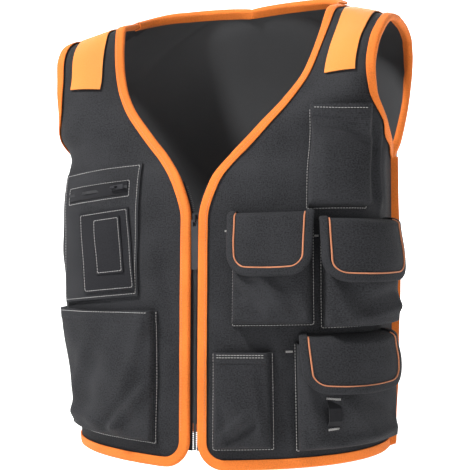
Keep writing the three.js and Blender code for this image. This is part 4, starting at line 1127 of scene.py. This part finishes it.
def add_patches():
    PATCH.add("patch_cloth", "patch_pocket")
    PATCH.frame(PATCH_SEAM["patch"])
    SLEEVE.add("sleeve_cloth", "tool_sleeve", CHARCOAL_DARK)
    step = PATCH_SEAM["sleeve"]
    SLEEVE.frame(step, closed=False)
    right, top = TOOL_SLEEVE["width"] - step, TOOL_SLEEVE["height"] - step
    SEAMS.sew([[step, top], [right, top]], SLEEVE.surface, -1)
    CARD.add("card_cloth", "card_pocket", CHARCOAL_DARK)
    CARD.frame(PATCH_SEAM["card"])
    ZIP_STRIP.add("small_tape", "small_zip_tape", ZIP_CLOTH, ZIP_TAPE, "zip_cloth")
    zip_x, zip_z = SMALL_ZIP["from"] - PATCH_POCKET["from"], SMALL_ZIP["foot"] - PATCH_POCKET["foot"]
    step = PATCH_SEAM["zip"]
    low, high = zip_z - step, zip_z + SMALL_ZIP["height"] + step
    left, right = zip_x - step, zip_x + SMALL_ZIP["width"] + step
    SEAMS.sew([[left, low], [left, high], [right, high], [right, low], [left, low]], PATCH.surface, -1)


# Zips

def add_teeth(name, node, place_of, count, size):
    """Small blocks, each at its place: a middle and three directions."""
    points, faces = [], []
    block = np.array([[x, y, z] for x in (-1, 1) for y in (-1, 1) for z in (-1, 1)]) / 2 * size
    quads = [[0, 1, 3, 2], [4, 6, 7, 5], [0, 4, 5, 1], [2, 3, 7, 6], [0, 2, 6, 4], [1, 5, 7, 3]]
    for k in range(count):
        middle, across, out, along = place_of(k)
        points.append(middle + block[:, :1] * across + block[:, 1:2] * out + block[:, 2:] * along)
        faces += [[8 * k + i for i in q] for q in quads]
    points = np.concatenate(points)
    new_piece(name, points, faces, points[:, ::2], TEETH, node)


def add_zip():
    def closed(k):
        height = ZIP_FOOT + 1 + k * ZIP_PITCH / 2
        p, _ = FRONT.look(0.0, height)
        middle = np.array([0.7 if k % 2 else -0.7, p[1] + ZIP_SETBACK, p[2]])
        return middle, *np.eye(3)

    count = int((ZIP_OPEN_HEIGHT - SLIDER_HEIGHT / 2 - ZIP_FOOT) / ZIP_PITCH) * 2
    add_teeth("zip_coil", "zip_chain", closed, count, CLOSED_TOOTH)
    heights = np.linspace(ZIP_FOOT, ZIP_TAPE_TOP, 120)[:, None]
    free = ZIP_HALF - ZIP_TAPE_START - GAP
    across = -free + np.linspace(0, 1, 7)[None, :] * (free + ZIP_TAPE_LAP)
    open_from = ZIP_OPEN_HEIGHT + 4
    for front in FRONTS:
        layers = [front.across(across, heights, -CLOTH / 2 - ZIP_SETBACK + lift)
                  for lift in (ZIP_TAPE / 2, -ZIP_TAPE / 2)]
        add_sheet(f"zip_edge_{front.name}", f"zip_tape_{front.name}", layers, grid(across, heights),
                  ZIP_CLOTH)

        def spread(k, front=front):
            height = open_from + k * ZIP_PITCH
            here, up = (front.across(-free - 0.6, height + step, -CLOTH / 2 - ZIP_SETBACK) for step in (0, 1))
            along = unit(up - here)
            out = mirrored(FRONT.look(0.0, height)[1], front.side)
            return here, np.cross(out, along), out, along

        count = int((ZIP_TAPE_TOP - 3 - open_from) / ZIP_PITCH)
        add_teeth(f"open_teeth_{front.name}", None, spread, count, OPEN_TOOTH)


def plain_finish():
    """The CAD's own hard pieces take their finish."""
    for node, material in (("zip_slider", METAL), ("zip_pull", GRIP), ("small_zip_slider", METAL),
                           ("small_zip_pull", METAL), ("small_zip_chain", TEETH), ("tool_loop", WEBBING)):
        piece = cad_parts[node]
        piece.data.materials.clear()
        piece.data.materials.append(material)


def sew_edges():
    """Stitches along the inner lips of the front tapes."""
    for front in FRONTS:
        heights = np.linspace(CORNER_RADIUS + 10, LAST_RUN * SHOULDER_HEIGHT - 4, 60)
        path = [[BINDING_SHOWN - LIP_SEAM["in"], h] for h in heights]
        lip = EASE["front"] + TAPE + LIP_SEAM["proud"]
        EDGE_SEAMS.sew(path, lambda across, height: front.across(across, height, lip), front.side)


add_camera()
add_studio()
add_front_panels()
add_back_panel()
add_front_bindings()
add_armhole_bindings()
add_back_bindings()
add_side_bands()
add_shoulder_bands()
add_box_pockets()
add_flaps()
add_patches()
add_zip()
sew_edges()
SEAMS.make("pocket_stitches", THREAD)
EDGE_SEAMS.make("tape_stitches", PIPING)
plain_finish()
